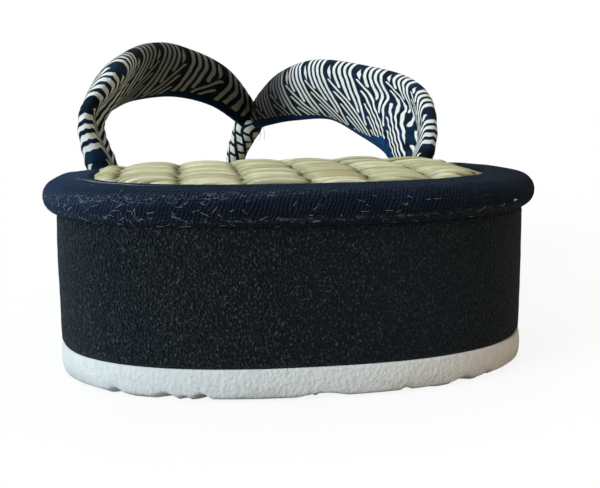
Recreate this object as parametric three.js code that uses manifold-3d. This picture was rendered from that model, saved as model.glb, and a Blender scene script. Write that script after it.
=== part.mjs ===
// Zori sandal: a sponge wedge sole, a cloth-covered edge board, a woven rush mat and
// padded thong straps. Millimetres, +Z up, +Y towards the toe, +X to the wearer's right.
// The origin is under the middle of the sole, on the ground.
// "reach" is a distance forward from the rearmost point of the midsole.

import * as THREE from 'three';
import { mergeVertices } from 'three/addons/utils/BufferGeometryUtils.js';
import Module from 'manifold-3d';

const wasm = await Module();
wasm.setup();

// Driving dimensions
const SOLE_LENGTH = 241;          // midsole, heel to toe
const HEEL_HALF_WIDTH = 40;       // midsole, at the heel
const BALL_HALF_WIDTH = 44.5;     // midsole, at the ball
const HEEL_ROUND = 27.5;          // reach of the rounded heel
const HEEL_SQUARENESS = 2.4;      // superellipse exponent of the heel
const BALL_REACH = 162;           // reach where the toe starts to round
const TOE_SQUARENESS = 2.2;       // superellipse exponent of the toe
const GAP = 0.3;                  // clearance between neighbouring pieces

const OUTSOLE_THICKNESS = 4.9;
const TREAD_DEPTH = 1.4;
const TREAD_GROOVE = 3.4;         // groove width
const TREAD_PITCH = 11.5;         // from groove to groove
const TREAD_WAVE = 3;             // how far a groove swings to and fro
const TREAD_ZIGS = 7;             // swings across the sole
const TOE_SPRING = 4;             // lift of the sole's underside at the toe
const SPRING_REACH = 182;         // where the lift starts

const RIM_THICKNESS = 5.5;
const RIM_OVERHANG = 2;           // past the midsole, all round
const BORDER_WIDTH = 7.9;         // rim's outer edge to the mat, at the heel
const BORDER_SIDE_WIDTH = 6.8;    // the same along the sides
const POCKET_DEPTH = 3;           // recess in the rim board that holds the mat

const MAT_CROWN = 1.3;            // rise of the mat's middle over its edge
const MAT_COLUMN = 10;            // width of one padded column of the mat
const MAT_VALLEY = 0.5;           // depth of the stitched lines between columns
const MAT_COLUMN_OFFSET = 0.6;    // how far the middle stitched line is off centre

// Height of the rim's top edge along the sole
const TOP_LINE = [
  { reach: 0, height: 31.9 },
  { reach: 22, height: 32.2 },
  { reach: 42, height: 31.9 },
  { reach: 62, height: 30.4 },
  { reach: 85, height: 28.2 },
  { reach: 115, height: 25.2 },
  { reach: 150, height: 22.4 },
  { reach: 185, height: 20.5 },
  { reach: 215, height: 19.5 },
  { reach: 241, height: 19.6 },
];

// The straps' middle lines and sections. out: distance outwards from the sole's middle.
// broad and thick: the section's full sizes. lean: the section's broad way, in degrees
// up from pointing straight back at the heel. splay: how far that way turns outwards.
const LEFT_STRAP = [
  { reach: 77, out: 34.4, up: 25.2, broad: 9, thick: 5.4, lean: 0, splay: 0 },
  { reach: 78, out: 36.4, up: 29.8, broad: 13.4, thick: 7, lean: 9, splay: 0 },
  { reach: 81.5, out: 38.8, up: 39.5, broad: 16, thick: 5.4, lean: 8, splay: 0.05 },
  { reach: 88.5, out: 36.3, up: 46.6, broad: 17.6, thick: 7.2, lean: 34, splay: -0.4 },
  { reach: 100, out: 33.8, up: 49.6, broad: 17.6, thick: 7.4, lean: 59, splay: -0.5 },
  { reach: 116, out: 28.5, up: 52.6, broad: 16.6, thick: 7.4, lean: 80, splay: -0.5 },
  { reach: 133, out: 19.2, up: 53.4, broad: 14.6, thick: 7, lean: 94, splay: -0.3 },
  { reach: 148, out: 6.6, up: 49.3, broad: 12.6, thick: 6.4, lean: 90, splay: -0.3 },
  { reach: 160.5, out: -4, up: 39.8, broad: 8.4, thick: 5.4, lean: 90, splay: -0.2 },
];
const RIGHT_STRAP = [
  { reach: 76, out: 34.4, up: 25.2, broad: 9, thick: 5.4, lean: 0, splay: 0.1 },
  { reach: 77, out: 35.3, up: 29.2, broad: 13.6, thick: 6.8, lean: 0, splay: 0.2 },
  { reach: 80.5, out: 36, up: 35.4, broad: 16.6, thick: 7, lean: 20, splay: 0.5 },
  { reach: 88, out: 35, up: 40.5, broad: 18.8, thick: 7.4, lean: 46, splay: 0.55 },
  { reach: 101, out: 29.8, up: 44, broad: 19, thick: 7.6, lean: 64, splay: 0.1 },
  { reach: 117, out: 21.2, up: 47.6, broad: 17.4, thick: 7.4, lean: 75, splay: -0.3 },
  { reach: 134, out: 13.1, up: 46.2, broad: 14.8, thick: 7, lean: 90, splay: -0.2 },
  { reach: 148.5, out: 8.1, up: 42.9, broad: 11.4, thick: 6.4, lean: 97, splay: 0 },
  { reach: 157, out: 6.3, up: 40.3, broad: 8.2, thick: 5.8, lean: 98, splay: 0 },
  { reach: 162.5, out: 3.4, up: 39, broad: 6.6, thick: 5.2, lean: 100, splay: 0.1 },
];
const STRAP_RINGS = 40;
const STRAP_SIDES = 14;

// The toe post's middle line, from its hole up round the meeting of the straps.
// side: to the wearer's right. wide and deep: the section across and fore and aft.
const TOE_POST = [
  { reach: 173.5, side: -0.8, up: 16.8, wide: 5.4, deep: 5.4 },
  { reach: 172.6, side: -0.7, up: 22, wide: 5.8, deep: 6 },
  { reach: 169.4, side: 0, up: 28, wide: 6.6, deep: 6.8 },
  { reach: 164.6, side: 2, up: 34, wide: 8.2, deep: 8.2 },
  { reach: 160.2, side: 4, up: 38.8, wide: 8.8, deep: 9.6 },
  { reach: 158.8, side: 4.8, up: 41.6, wide: 4, deep: 4 },
];
const POST_RINGS = 14;
const POST_SIDES = 14;

const HEEL_STEPS = 13;            // points round half the heel
const SIDE_STEPS = 12;
const TOE_STEPS = 15;

// ---- Curves and outlines ----

// A smooth curve through a table's rows, read by row position t from 0 to 1.
function readRows(rows, key, t) {
  const place = THREE.MathUtils.clamp(t, 0, 1) * (rows.length - 1);
  const row = Math.min(Math.floor(place), rows.length - 2);
  const value = (i) => rows[THREE.MathUtils.clamp(i, 0, rows.length - 1)][key];
  const startSlope = row > 0 ? (value(row + 1) - value(row - 1)) / 2 : value(1) - value(0);
  const endSlope = row < rows.length - 2
    ? (value(row + 2) - value(row)) / 2
    : value(row + 1) - value(row);
  return hermite(value(row), value(row + 1), startSlope, endSlope, place - row);
}

function hermite(start, end, startSlope, endSlope, u) {
  const blend = u * u * (3 - 2 * u);
  return start * (1 - blend) + end * blend
    + startSlope * u * (1 - u) * (1 - u) - endSlope * u * u * (1 - u);
}

// Height of the rim's top edge at a reach: a cubic through TOP_LINE with even slopes.
function topHeight(reach) {
  const last = TOP_LINE.length - 1;
  let row = 0;
  while (row < last - 1 && reach > TOP_LINE[row + 1].reach) row += 1;
  const slope = (i) => {
    const before = TOP_LINE[Math.max(i - 1, 0)];
    const after = TOP_LINE[Math.min(i + 1, last)];
    return (after.height - before.height) / (after.reach - before.reach);
  };
  const from = TOP_LINE[row];
  const to = TOP_LINE[row + 1];
  const span = to.reach - from.reach;
  const u = (reach - from.reach) / span;
  return hermite(from.height, to.height, slope(row) * span, slope(row + 1) * span, u);
}

// Height of the sole's underside: flat, then a parabola up to the toe.
function underHeight(reach) {
  const run = Math.max(0, reach - SPRING_REACH) / (SOLE_LENGTH - SPRING_REACH);
  return TOE_SPRING * run * run;
}

// Half the sole's outline, from the middle of the heel to the middle of the toe: a
// superellipse heel, sides that widen to the ball, and a superellipse toe.
function halfOutline() {
  const points = [];
  const toeLength = SOLE_LENGTH - BALL_REACH;
  for (let i = 0; i < HEEL_STEPS; i += 1) {
    const angle = (i / HEEL_STEPS) * Math.PI / 2;
    const x = HEEL_HALF_WIDTH * Math.sin(angle) ** (2 / HEEL_SQUARENESS);
    const reach = HEEL_ROUND * (1 - Math.cos(angle) ** (2 / HEEL_SQUARENESS));
    points.push(new THREE.Vector2(x, reach));
  }
  for (let i = 0; i < SIDE_STEPS; i += 1) {
    const u = i / SIDE_STEPS;
    const ease = (1 - Math.cos(Math.PI * u)) / 2;
    const x = HEEL_HALF_WIDTH + (BALL_HALF_WIDTH - HEEL_HALF_WIDTH) * ease;
    points.push(new THREE.Vector2(x, HEEL_ROUND + (BALL_REACH - HEEL_ROUND) * u));
  }
  for (let i = 0; i <= TOE_STEPS; i += 1) {
    const angle = (i / TOE_STEPS) * Math.PI / 2;
    const x = i === TOE_STEPS ? 0 : BALL_HALF_WIDTH * Math.cos(angle) ** (2 / TOE_SQUARENESS);
    const reach = BALL_REACH + toeLength * Math.sin(angle) ** (2 / TOE_SQUARENESS);
    points.push(new THREE.Vector2(x, reach));
  }
  return points;
}

// The whole outline, anticlockwise from the heel, moved inwards by inset (a number or
// a function of reach) along its own normals.
function outline(inset) {
  const half = halfOutline();
  const last = half.length - 1;
  const moved = half.map((point, i) => {
    const before = i > 0 ? half[i - 1] : new THREE.Vector2(-half[1].x, half[1].y);
    const after = i < last ? half[i + 1] : new THREE.Vector2(-half[last - 1].x, half[last - 1].y);
    const along = after.clone().sub(before).normalize();
    const amount = typeof inset === 'function' ? inset(point.y) : inset;
    return new THREE.Vector2(point.x - along.y * amount, point.y + along.x * amount);
  });
  const mirrored = moved.slice(1, last).reverse().map((p) => new THREE.Vector2(-p.x, p.y));
  return moved.concat(mirrored);
}

// Distance from the midsole's outline in to the mat's edge.
function matInset(reach) {
  const side = THREE.MathUtils.smoothstep(reach, 25, 75);
  return THREE.MathUtils.lerp(BORDER_WIDTH, BORDER_SIDE_WIDTH, side) - RIM_OVERHANG;
}

// One ring of a layer: an outline at an inset, with its height worked out from reach.
function ring(inset, height) {
  return outline(inset).map((p) => [p.x, p.y - SOLE_LENGTH / 2, height(p.y)]);
}

// ---- Meshes ----

function geometryFrom(points, faces) {
  const geometry = new THREE.BufferGeometry();
  geometry.setAttribute('position', new THREE.Float32BufferAttribute(points.flat(), 3));
  geometry.setIndex(faces.flat());
  return geometry;
}

// Closed body from outline rings that run from the middle of the top face, over the
// edge, to the middle of the bottom face. Each flat end is filled with cross strips
// between mirrored points.
function layerGeometry(rings) {
  const count = rings[0].length;
  const points = rings.flat();
  const faces = [];
  for (let r = 0; r < rings.length - 1; r += 1) {
    for (let i = 0; i < count; i += 1) {
      const a = r * count + i;
      const b = r * count + (i + 1) % count;
      faces.push([a, a + count, b], [b, a + count, b + count]);
    }
  }
  const bottom = (rings.length - 1) * count;
  for (let i = 0; i < count / 2; i += 1) {
    const j = (count - i) % count;
    const inner = i + 1;
    const mirror = count - inner;
    if (inner < count / 2) {
      faces.push([i, inner, mirror], [bottom + i, bottom + mirror, bottom + inner]);
      if (i > 0) faces.push([i, mirror, j], [bottom + i, bottom + j, bottom + mirror]);
    } else {
      faces.push([i, inner, j], [bottom + i, bottom + j, bottom + inner]);
    }
  }
  return geometryFrom(points, faces);
}

// Closed tube with capped ends. stationAt(t) gives the middle and the two half axes.
function tubeGeometry(stationAt, ringCount, sides) {
  const points = [];
  const faces = [];
  for (let r = 0; r <= ringCount; r += 1) {
    const { middle, first, second } = stationAt(r / ringCount);
    for (let i = 0; i < sides; i += 1) {
      const angle = (i / sides) * Math.PI * 2;
      const point = middle.clone()
        .addScaledVector(first, Math.cos(angle))
        .addScaledVector(second, Math.sin(angle));
      points.push(point.toArray());
    }
  }
  for (let r = 0; r < ringCount; r += 1) {
    for (let i = 0; i < sides; i += 1) {
      const a = r * sides + i;
      const b = r * sides + (i + 1) % sides;
      faces.push([a, b, a + sides], [b, b + sides, a + sides]);
    }
  }
  const end = ringCount * sides;
  for (let i = 1; i < sides - 1; i += 1) {
    faces.push([0, i + 1, i], [end, end + i, end + i + 1]);
  }
  return geometryFrom(points, faces);
}

function toSolid(geometry) {
  const plain = geometry.clone();
  plain.deleteAttribute('normal');
  plain.deleteAttribute('uv');
  const merged = mergeVertices(plain, 1e-4);
  const solid = new wasm.Manifold(new wasm.Mesh({
    numProp: 3,
    vertProperties: new Float32Array(merged.attributes.position.array),
    triVerts: new Uint32Array(merged.index.array),
  }));
  return solid;
}

function toGeometry(solid) {
  const mesh = solid.getMesh();
  const geometry = new THREE.BufferGeometry();
  geometry.setAttribute('position', new THREE.Float32BufferAttribute(mesh.vertProperties, 3));
  geometry.setIndex(Array.from(mesh.triVerts));
  geometry.computeVertexNormals();
  return geometry;
}

function named(name, solid, material) {
  const mesh = new THREE.Mesh(toGeometry(solid), material);
  mesh.name = name;
  return mesh;
}

// ---- Straps and toe post ----

// Station of a strap: its middle and half axes, with the broad axis square to the path.
function strapStation(rows, side, extra, t) {
  const place = (u) => new THREE.Vector3(
    side * readRows(rows, 'out', u),
    readRows(rows, 'reach', u) - SOLE_LENGTH / 2,
    readRows(rows, 'up', u),
  );
  const step = 0.004;
  const along = place(Math.min(t + step, 1)).sub(place(Math.max(t - step, 0))).normalize();
  const lean = THREE.MathUtils.degToRad(readRows(rows, 'lean', t));
  const broadWay = new THREE.Vector3(
    side * readRows(rows, 'splay', t),
    -Math.cos(lean),
    Math.sin(lean),
  );
  broadWay.addScaledVector(along, -broadWay.dot(along)).normalize();
  const thickWay = new THREE.Vector3().crossVectors(along, broadWay);
  return {
    middle: place(t),
    first: broadWay.multiplyScalar(readRows(rows, 'broad', t) / 2 + extra),
    second: thickWay.multiplyScalar(readRows(rows, 'thick', t) / 2 + extra),
  };
}

// Both straps as one solid, joined where they meet. extra makes it larger all round.
function strapSolid(extra) {
  const tube = (rows, side) => toSolid(tubeGeometry(
    (t) => strapStation(rows, side, extra, t),
    STRAP_RINGS,
    STRAP_SIDES,
  ));
  return tube(LEFT_STRAP, -1).add(tube(RIGHT_STRAP, 1));
}

function postStation(extra, t) {
  const place = (u) => new THREE.Vector3(
    readRows(TOE_POST, 'side', u),
    readRows(TOE_POST, 'reach', u) - SOLE_LENGTH / 2,
    readRows(TOE_POST, 'up', u),
  );
  const step = 0.004;
  const along = place(Math.min(t + step, 1)).sub(place(Math.max(t - step, 0))).normalize();
  const wideWay = new THREE.Vector3(1, 0, 0);
  wideWay.addScaledVector(along, -wideWay.dot(along)).normalize();
  const deepWay = new THREE.Vector3().crossVectors(along, wideWay);
  return {
    middle: place(t),
    first: wideWay.multiplyScalar(readRows(TOE_POST, 'wide', t) / 2 + extra),
    second: deepWay.multiplyScalar(readRows(TOE_POST, 'deep', t) / 2 + extra),
  };
}

function postSolid(extra) {
  return toSolid(tubeGeometry((t) => postStation(extra, t), POST_RINGS, POST_SIDES));
}

// The straps and the toe post, larger by the gap, which cut their own holes.
function holeCutters() {
  return strapSolid(GAP).add(postSolid(GAP));
}

// ---- Sole ----

// A zigzag groove across the sole, cut upwards from below.
function grooveSolid(reach) {
  const halfSpan = BALL_HALF_WIDTH + RIM_OVERHANG;
  const steps = TREAD_ZIGS * 2;
  const centre = (i) => reach + (i % 2 === 0 ? -TREAD_WAVE / 2 : TREAD_WAVE / 2);
  const across = (i) => -halfSpan + (2 * halfSpan * i) / steps;
  const shape = new THREE.Shape();
  shape.moveTo(across(0), centre(0) - TREAD_GROOVE / 2);
  for (let i = 1; i <= steps; i += 1) shape.lineTo(across(i), centre(i) - TREAD_GROOVE / 2);
  for (let i = steps; i >= 0; i -= 1) shape.lineTo(across(i), centre(i) + TREAD_GROOVE / 2);
  shape.closePath();
  const drop = 2;
  const block = new THREE.ExtrudeGeometry(shape, {
    depth: drop + TREAD_DEPTH,
    bevelEnabled: false,
  });
  block.translate(0, -SOLE_LENGTH / 2, underHeight(reach) - drop);
  return toSolid(block);
}

function outsoleSolid() {
  const top = (reach) => underHeight(reach) + OUTSOLE_THICKNESS;
  const edgeRound = 0.7;
  let solid = toSolid(layerGeometry([
    ring(0, top),
    ring(0, (reach) => underHeight(reach) + edgeRound),
    ring(edgeRound, underHeight),
  ]));
  const firstGroove = 13;
  for (let reach = firstGroove; reach < SOLE_LENGTH - 8; reach += TREAD_PITCH) {
    solid = solid.subtract(grooveSolid(reach));
  }
  return solid;
}

function midsoleSolid() {
  const top = (reach) => topHeight(reach) - RIM_THICKNESS - GAP;
  const bottom = (reach) => underHeight(reach) + OUTSOLE_THICKNESS + GAP;
  const bulge = -0.3;
  return toSolid(layerGeometry([
    ring(0, top),
    ring(bulge, (reach) => (top(reach) + bottom(reach)) / 2),
    ring(0, bottom),
  ]));
}

// The edge board: a plate with a full round edge and a recess for the mat.
function rimSolid() {
  const radius = RIM_THICKNESS / 2;
  const arcSteps = 6;
  const rings = [
    ring(matInset, (reach) => topHeight(reach) - POCKET_DEPTH),
    ring(matInset, (reach) => topHeight(reach) - 0.3),
    ring((reach) => matInset(reach) - 0.8, topHeight),
  ];
  for (let i = 0; i <= arcSteps; i += 1) {
    const angle = Math.PI / 2 - (i / arcSteps) * Math.PI;
    const inset = radius * (1 - Math.cos(angle)) - RIM_OVERHANG;
    rings.push(ring(inset, (reach) => topHeight(reach) - radius + radius * Math.sin(angle)));
  }
  return toSolid(layerGeometry(rings)).subtract(holeCutters());
}

// Height of the mat's face over the rim's top edge, from its crown and its columns.
function matRise(x, reach) {
  const width = BALL_HALF_WIDTH;
  const dome = 1 - (x / width) ** 4;
  const ends = 1 - Math.abs((2 * reach) / SOLE_LENGTH - 1) ** 6;
  const column = Math.abs(Math.sin((Math.PI * (x - MAT_COLUMN_OFFSET)) / MAT_COLUMN));
  return MAT_CROWN * dome * ends + MAT_VALLEY * (column ** 0.6 - 1) + 0.3;
}

// Block with a columned top face, to be trimmed to the mat's outline. The columns run
// from heel to toe, with points on each stitched line and between them.
function matBlock() {
  const pointsPerColumn = 4;
  const columns = 10;
  const rows = 18;
  const across = columns * pointsPerColumn;
  const points = [];
  const faces = [];
  const startX = MAT_COLUMN_OFFSET - (columns / 2) * MAT_COLUMN;
  const under = (reach) => topHeight(reach) - POCKET_DEPTH + GAP;
  for (let level = 0; level < 2; level += 1) {
    for (let j = 0; j <= rows; j += 1) {
      const reach = (SOLE_LENGTH * j) / rows;
      for (let i = 0; i <= across; i += 1) {
        const x = startX + (MAT_COLUMN * i) / pointsPerColumn;
        const face = topHeight(reach) + matRise(x, reach);
        points.push([x, reach - SOLE_LENGTH / 2, level === 0 ? face : under(reach)]);
      }
    }
  }
  const layer = (rows + 1) * (across + 1);
  const at = (i, j) => j * (across + 1) + i;
  for (let j = 0; j < rows; j += 1) {
    for (let i = 0; i < across; i += 1) {
      const [a, b, c, d] = [at(i, j), at(i + 1, j), at(i + 1, j + 1), at(i, j + 1)];
      faces.push([a, b, c], [a, c, d]);
      faces.push([a + layer, c + layer, b + layer], [a + layer, d + layer, c + layer]);
    }
  }
  const wall = (p, q) => faces.push([p, p + layer, q], [q, p + layer, q + layer]);
  for (let i = 0; i < across; i += 1) {
    wall(at(i, 0), at(i + 1, 0));
    wall(at(i + 1, rows), at(i, rows));
  }
  for (let j = 0; j < rows; j += 1) {
    wall(at(across, j), at(across, j + 1));
    wall(at(0, j + 1), at(0, j));
  }
  return toSolid(geometryFrom(points, faces));
}

function matSolid() {
  const edge = (reach) => matInset(reach) + GAP;
  const trim = toSolid(layerGeometry([ring(edge, () => 60), ring(edge, () => 0)]));
  return matBlock().intersect(trim).subtract(holeCutters());
}

// ---- Materials and assembly ----

const paleSponge = new THREE.MeshStandardMaterial({ color: 0xc9cfcc, roughness: 0.92 });
const blackSponge = new THREE.MeshStandardMaterial({ color: 0x15191c, roughness: 0.95 });
const navyCloth = new THREE.MeshStandardMaterial({ color: 0x1b2340, roughness: 0.9 });
const rush = new THREE.MeshStandardMaterial({ color: 0xc0c094, roughness: 0.7 });
const strapCloth = new THREE.MeshStandardMaterial({ color: 0x14263a, roughness: 0.85 });
const postCloth = new THREE.MeshStandardMaterial({ color: 0x101c2a, roughness: 0.85 });
for (const material of [paleSponge, blackSponge, navyCloth, rush, strapCloth, postCloth]) {
  material.metalness = 0;
}

const zori = new THREE.Group();
zori.add(
  named('outsole', outsoleSolid(), paleSponge),
  named('midsole', midsoleSolid(), blackSponge),
  named('rim', rimSolid(), navyCloth),
  named('mat', matSolid(), rush),
  named('straps', strapSolid(0), strapCloth),
  named('toe_post', postSolid(0).subtract(strapSolid(GAP)), postCloth),
);

export default zori;
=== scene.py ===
import math

import bmesh
import bpy
import numpy as np
from bpy.props import FloatProperty, FloatVectorProperty, IntProperty, PointerProperty
from bpy.types import Operator, Panel, PropertyGroup
from mathutils import Matrix, Vector


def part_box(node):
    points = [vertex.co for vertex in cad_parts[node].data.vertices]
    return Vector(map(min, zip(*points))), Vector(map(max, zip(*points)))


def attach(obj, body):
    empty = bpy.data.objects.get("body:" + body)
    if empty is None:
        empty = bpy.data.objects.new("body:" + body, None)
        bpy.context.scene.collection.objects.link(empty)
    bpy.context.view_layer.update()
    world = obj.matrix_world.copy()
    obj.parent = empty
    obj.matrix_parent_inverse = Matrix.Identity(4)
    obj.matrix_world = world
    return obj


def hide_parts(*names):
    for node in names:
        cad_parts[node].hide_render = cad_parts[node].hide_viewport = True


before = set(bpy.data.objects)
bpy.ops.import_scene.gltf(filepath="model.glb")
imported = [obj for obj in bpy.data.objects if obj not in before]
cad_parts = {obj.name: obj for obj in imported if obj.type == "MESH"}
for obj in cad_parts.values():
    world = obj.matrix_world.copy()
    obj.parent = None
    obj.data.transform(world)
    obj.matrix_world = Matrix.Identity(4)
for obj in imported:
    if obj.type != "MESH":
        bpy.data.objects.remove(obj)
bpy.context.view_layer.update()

bl_info = {
    "name": "Zori Sandal",
    "version": (1, 0, 0),
    "blender": (4, 5, 0),
    "location": "View3D > Sidebar > Zori",
    "description": "Builds a zori sandal: sponge sole, cloth edge, rush mat and printed straps",
    "category": "Add Mesh",
}

# Lengths are millimetres until a mesh is made. reach is a distance forward from the
# rearmost point of the midsole, and the sole's middle line is x = 0.
MM = 0.001
MIDSOLE_LOW, MIDSOLE_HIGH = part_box("midsole")
RIM_LOW, RIM_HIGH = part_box("rim")
CAD_BULGE = 0.3
SOLE_LENGTH = (MIDSOLE_HIGH[1] - MIDSOLE_LOW[1]) / MM - 2 * CAD_BULGE
BALL_HALF_WIDTH = (MIDSOLE_HIGH[0] - MIDSOLE_LOW[0]) / MM / 2 - CAD_BULGE
RIM_OVERHANG = (RIM_HIGH[1] - RIM_LOW[1]) / MM / 2 - SOLE_LENGTH / 2
HALF_LENGTH = SOLE_LENGTH / 2

HEEL_HALF_WIDTH = 40.0
HEEL_ROUND = 27.5
HEEL_SQUARENESS = 2.4
BALL_REACH = 162.0
TOE_SQUARENESS = 2.2

OUTSOLE_THICKNESS = 4.9
TREAD_GROOVE = 3.4
TREAD_PITCH = 11.5
TREAD_FIRST = 13.0
TREAD_WAVE = 3.0
TREAD_ZIGS = 7
TOE_SPRING = 4.0
SPRING_REACH = 182.0

RIM_THICKNESS = 5.5
BORDER_WIDTH = 7.9
BORDER_SIDE_WIDTH = 6.8
MAT_CROWN = 1.3
MAT_VALLEY = 0.5
MAT_COLUMN_OFFSET = 0.6

# Height of the rim's top edge along the sole: reach, height
TOP_LINE = np.array([
    (0, 31.9), (22, 32.2), (42, 31.9), (62, 30.4), (85, 28.2),
    (115, 25.2), (150, 22.4), (185, 20.5), (215, 19.5), (241, 19.6),
])

# Straps from their holes to where they meet:
# reach, out from the middle, up, broad, thick, lean (degrees), splay
LEFT_STRAP = np.array([
    (77, 34.4, 25.2, 9, 5.4, 0, 0),
    (78, 36.4, 29.8, 13.4, 7, 9, 0),
    (81.5, 38.8, 39.5, 16, 5.4, 8, 0.05),
    (88.5, 36.3, 46.6, 17.6, 7.2, 34, -0.4),
    (100, 33.8, 49.6, 17.6, 7.4, 59, -0.5),
    (116, 28.5, 52.6, 16.6, 7.4, 80, -0.5),
    (133, 19.2, 53.4, 14.6, 7, 94, -0.3),
    (148, 6.6, 49.3, 12.6, 6.4, 90, -0.3),
    (160.5, -4, 39.8, 8.4, 5.4, 90, -0.2),
])
RIGHT_STRAP = np.array([
    (76, 34.4, 25.2, 9, 5.4, 0, 0.1),
    (77, 35.3, 29.2, 13.6, 6.8, 0, 0.2),
    (80.5, 36, 35.4, 16.6, 7, 20, 0.5),
    (88, 35, 40.5, 18.8, 7.4, 46, 0.55),
    (101, 29.8, 44, 19, 7.6, 64, 0.1),
    (117, 21.2, 47.6, 17.4, 7.4, 75, -0.3),
    (134, 13.1, 46.2, 14.8, 7, 90, -0.2),
    (148.5, 8.1, 42.9, 11.4, 6.4, 97, 0),
    (157, 6.3, 40.3, 8.2, 5.8, 98, 0),
    (162.5, 3.4, 39, 6.6, 5.2, 100, 0.1),
])
# Toe post from its hole to the straps: reach, side, up, wide, deep
TOE_POST = np.array([
    (173.5, -0.8, 16.8, 5.4, 5.4),
    (172.6, -0.7, 22, 5.8, 6),
    (169.4, 0, 28, 6.6, 6.8),
    (164.6, 2, 34, 8.2, 8.2),
    (160.2, 4, 38.8, 8.8, 9.6),
    (158.8, 4.8, 41.6, 4, 4),
])

# The straps' print, in millimetres of cloth: along the strap, and down from its ridge
PRINT_REPEAT = 10.0
PRINT_FIRST = -4.0        # where a repeat starts, counted from its first upright line
PRINT_SOFTNESS = 0.07     # of the lines' edges
UPRIGHT_LINES = 4
UPRIGHT_PITCH = 1.8
UPRIGHT_HALF_WIDTH = 0.54
UPRIGHT_END = 6.9         # how far down the first line runs
UPRIGHT_DROP = 3.05       # how much further each next line runs
SLANT_LINES = 10
SLANT_SLOPE = 0.6         # along, for each millimetre down
SLANT_PITCH = 1.86        # measured along
SLANT_BACK = 5.76         # from the first line, carried on up to the ridge
SLANT_HALF_WIDTH = 0.41
SLANT_START = 5.3         # how far down the first line starts
SLANT_DROP = 3.1          # how much further down each next line starts
KITE_ALONG = -1.75
KITE_DOWN = 3.4
KITE_SLIMNESS = 0.36
KITE_HALF_WIDTH = 0.72


def linear(hex_colour):
    """Linear RGBA of an sRGB hex colour, by the sRGB curve."""
    values = [int(hex_colour[i:i + 2], 16) / 255 for i in (1, 3, 5)]
    curve = [v / 12.92 if v <= 0.04045 else ((v + 0.055) / 1.055) ** 2.4 for v in values]
    return (*curve, 1.0)


class SoleSettings(PropertyGroup):
    """Sizes of the sole, its edge board and its mat."""

    tread_depth: FloatProperty(
        name="Tread depth", description="Depth of the zigzag grooves, in millimetres",
        default=1.4, min=0.0, max=3.0)
    worn_edge: FloatProperty(
        name="Worn edge", description="How far the tread's edge is nibbled, in millimetres",
        default=0.9, min=0.0, max=2.0)
    column_width: FloatProperty(
        name="Mat column", description="Width of one column of the mat, in millimetres",
        default=10.0, min=5.0, max=20.0)
    strand_width: FloatProperty(
        name="Strand pitch", description="Spacing of the rush strands, in millimetres",
        default=1.45, min=0.8, max=4.0)
    lint_count: IntProperty(
        name="Lint fibres", description="Loose white fibres on the edge cloth",
        default=230, min=0, max=1000)


class StrapSettings(PropertyGroup):
    """Sizes of the straps' padding, lining and print."""

    lining_width: FloatProperty(
        name="Lining edge", description="Lining shown along the lower edge, in millimetres",
        default=3.3, min=0.5, max=6.0)
    crease_depth: FloatProperty(
        name="Crease depth", description="Depth of the fold by the hole, in millimetres",
        default=2.3, min=0.0, max=4.0)
    print_slant: FloatProperty(
        name="Print slant", description="Slope of the printed lines down the strap",
        default=0.42, min=-1.0, max=1.0)


class FinishSettings(PropertyGroup):
    """Colours of the finishes."""

    pale_sponge: FloatVectorProperty(
        name="Outsole sponge", description="Cut sponge rubber of the outsole",
        default=linear("#d3d8d4"), size=4, min=0, max=1, subtype="COLOR")
    black_sponge: FloatVectorProperty(
        name="Wedge sponge", description="Sanded black sponge of the wedge",
        default=linear("#101518"), size=4, min=0, max=1, subtype="COLOR")
    edge_cloth: FloatVectorProperty(
        name="Edge cloth", description="Navy cloth over the edge board",
        default=linear("#0a1322"), size=4, min=0, max=1, subtype="COLOR")
    rush: FloatVectorProperty(
        name="Rush", description="Dried rush of the mat",
        default=linear("#d6d4b2"), size=4, min=0, max=1, subtype="COLOR")
    strap_ground: FloatVectorProperty(
        name="Strap ground", description="Dark ground of the strap's print",
        default=linear("#091622"), size=4, min=0, max=1, subtype="COLOR")
    strap_line: FloatVectorProperty(
        name="Strap line", description="Cream lines of the strap's print",
        default=linear("#e4e7e1"), size=4, min=0, max=1, subtype="COLOR")
    velour: FloatVectorProperty(
        name="Velour", description="Blue velour lining of the straps",
        default=linear("#143a64"), size=4, min=0, max=1, subtype="COLOR")


# ---- Tables and outlines ----

def smoothstep(low, high, x):
    """0 below low, 1 above high, and an even S between them."""
    t = np.clip((x - low) / (high - low), 0, 1)
    return t * t * (3 - 2 * t)


def hermite(start, end, start_slope, end_slope, u):
    """Cubic from start to end with the given slopes, u from 0 to 1."""
    blend = u * u * (3 - 2 * u)
    return (start * (1 - blend) + end * blend
            + start_slope * u * (1 - u) ** 2 - end_slope * u * u * (1 - u))


def read_rows(rows, t):
    """Smooth curve through a table's rows, read by row position t from 0 to 1."""
    last = len(rows) - 1
    place = np.clip(t, 0, 1) * last
    row = np.minimum(place.astype(int), last - 1)
    u = (place - row)[:, None]
    before = rows[np.maximum(row - 1, 0)]
    start, end = rows[row], rows[row + 1]
    after = rows[np.minimum(row + 2, last)]
    start_slope = np.where((row > 0)[:, None], (end - before) / 2, end - start)
    end_slope = np.where((row < last - 1)[:, None], (after - start) / 2, end - start)
    return hermite(start, end, start_slope, end_slope, u)


def top_height(reach):
    """Height of the rim's top edge: a cubic through TOP_LINE with even slopes."""
    at, height = TOP_LINE[:, 0], TOP_LINE[:, 1]
    before = np.maximum(np.arange(len(at)) - 1, 0)
    after = np.minimum(np.arange(len(at)) + 1, len(at) - 1)
    slope = (height[after] - height[before]) / (at[after] - at[before])
    row = np.clip(np.searchsorted(at, reach, side="left") - 1, 0, len(at) - 2)
    span = at[row + 1] - at[row]
    u = (reach - at[row]) / span
    return hermite(height[row], height[row + 1], slope[row] * span, slope[row + 1] * span, u)


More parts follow.
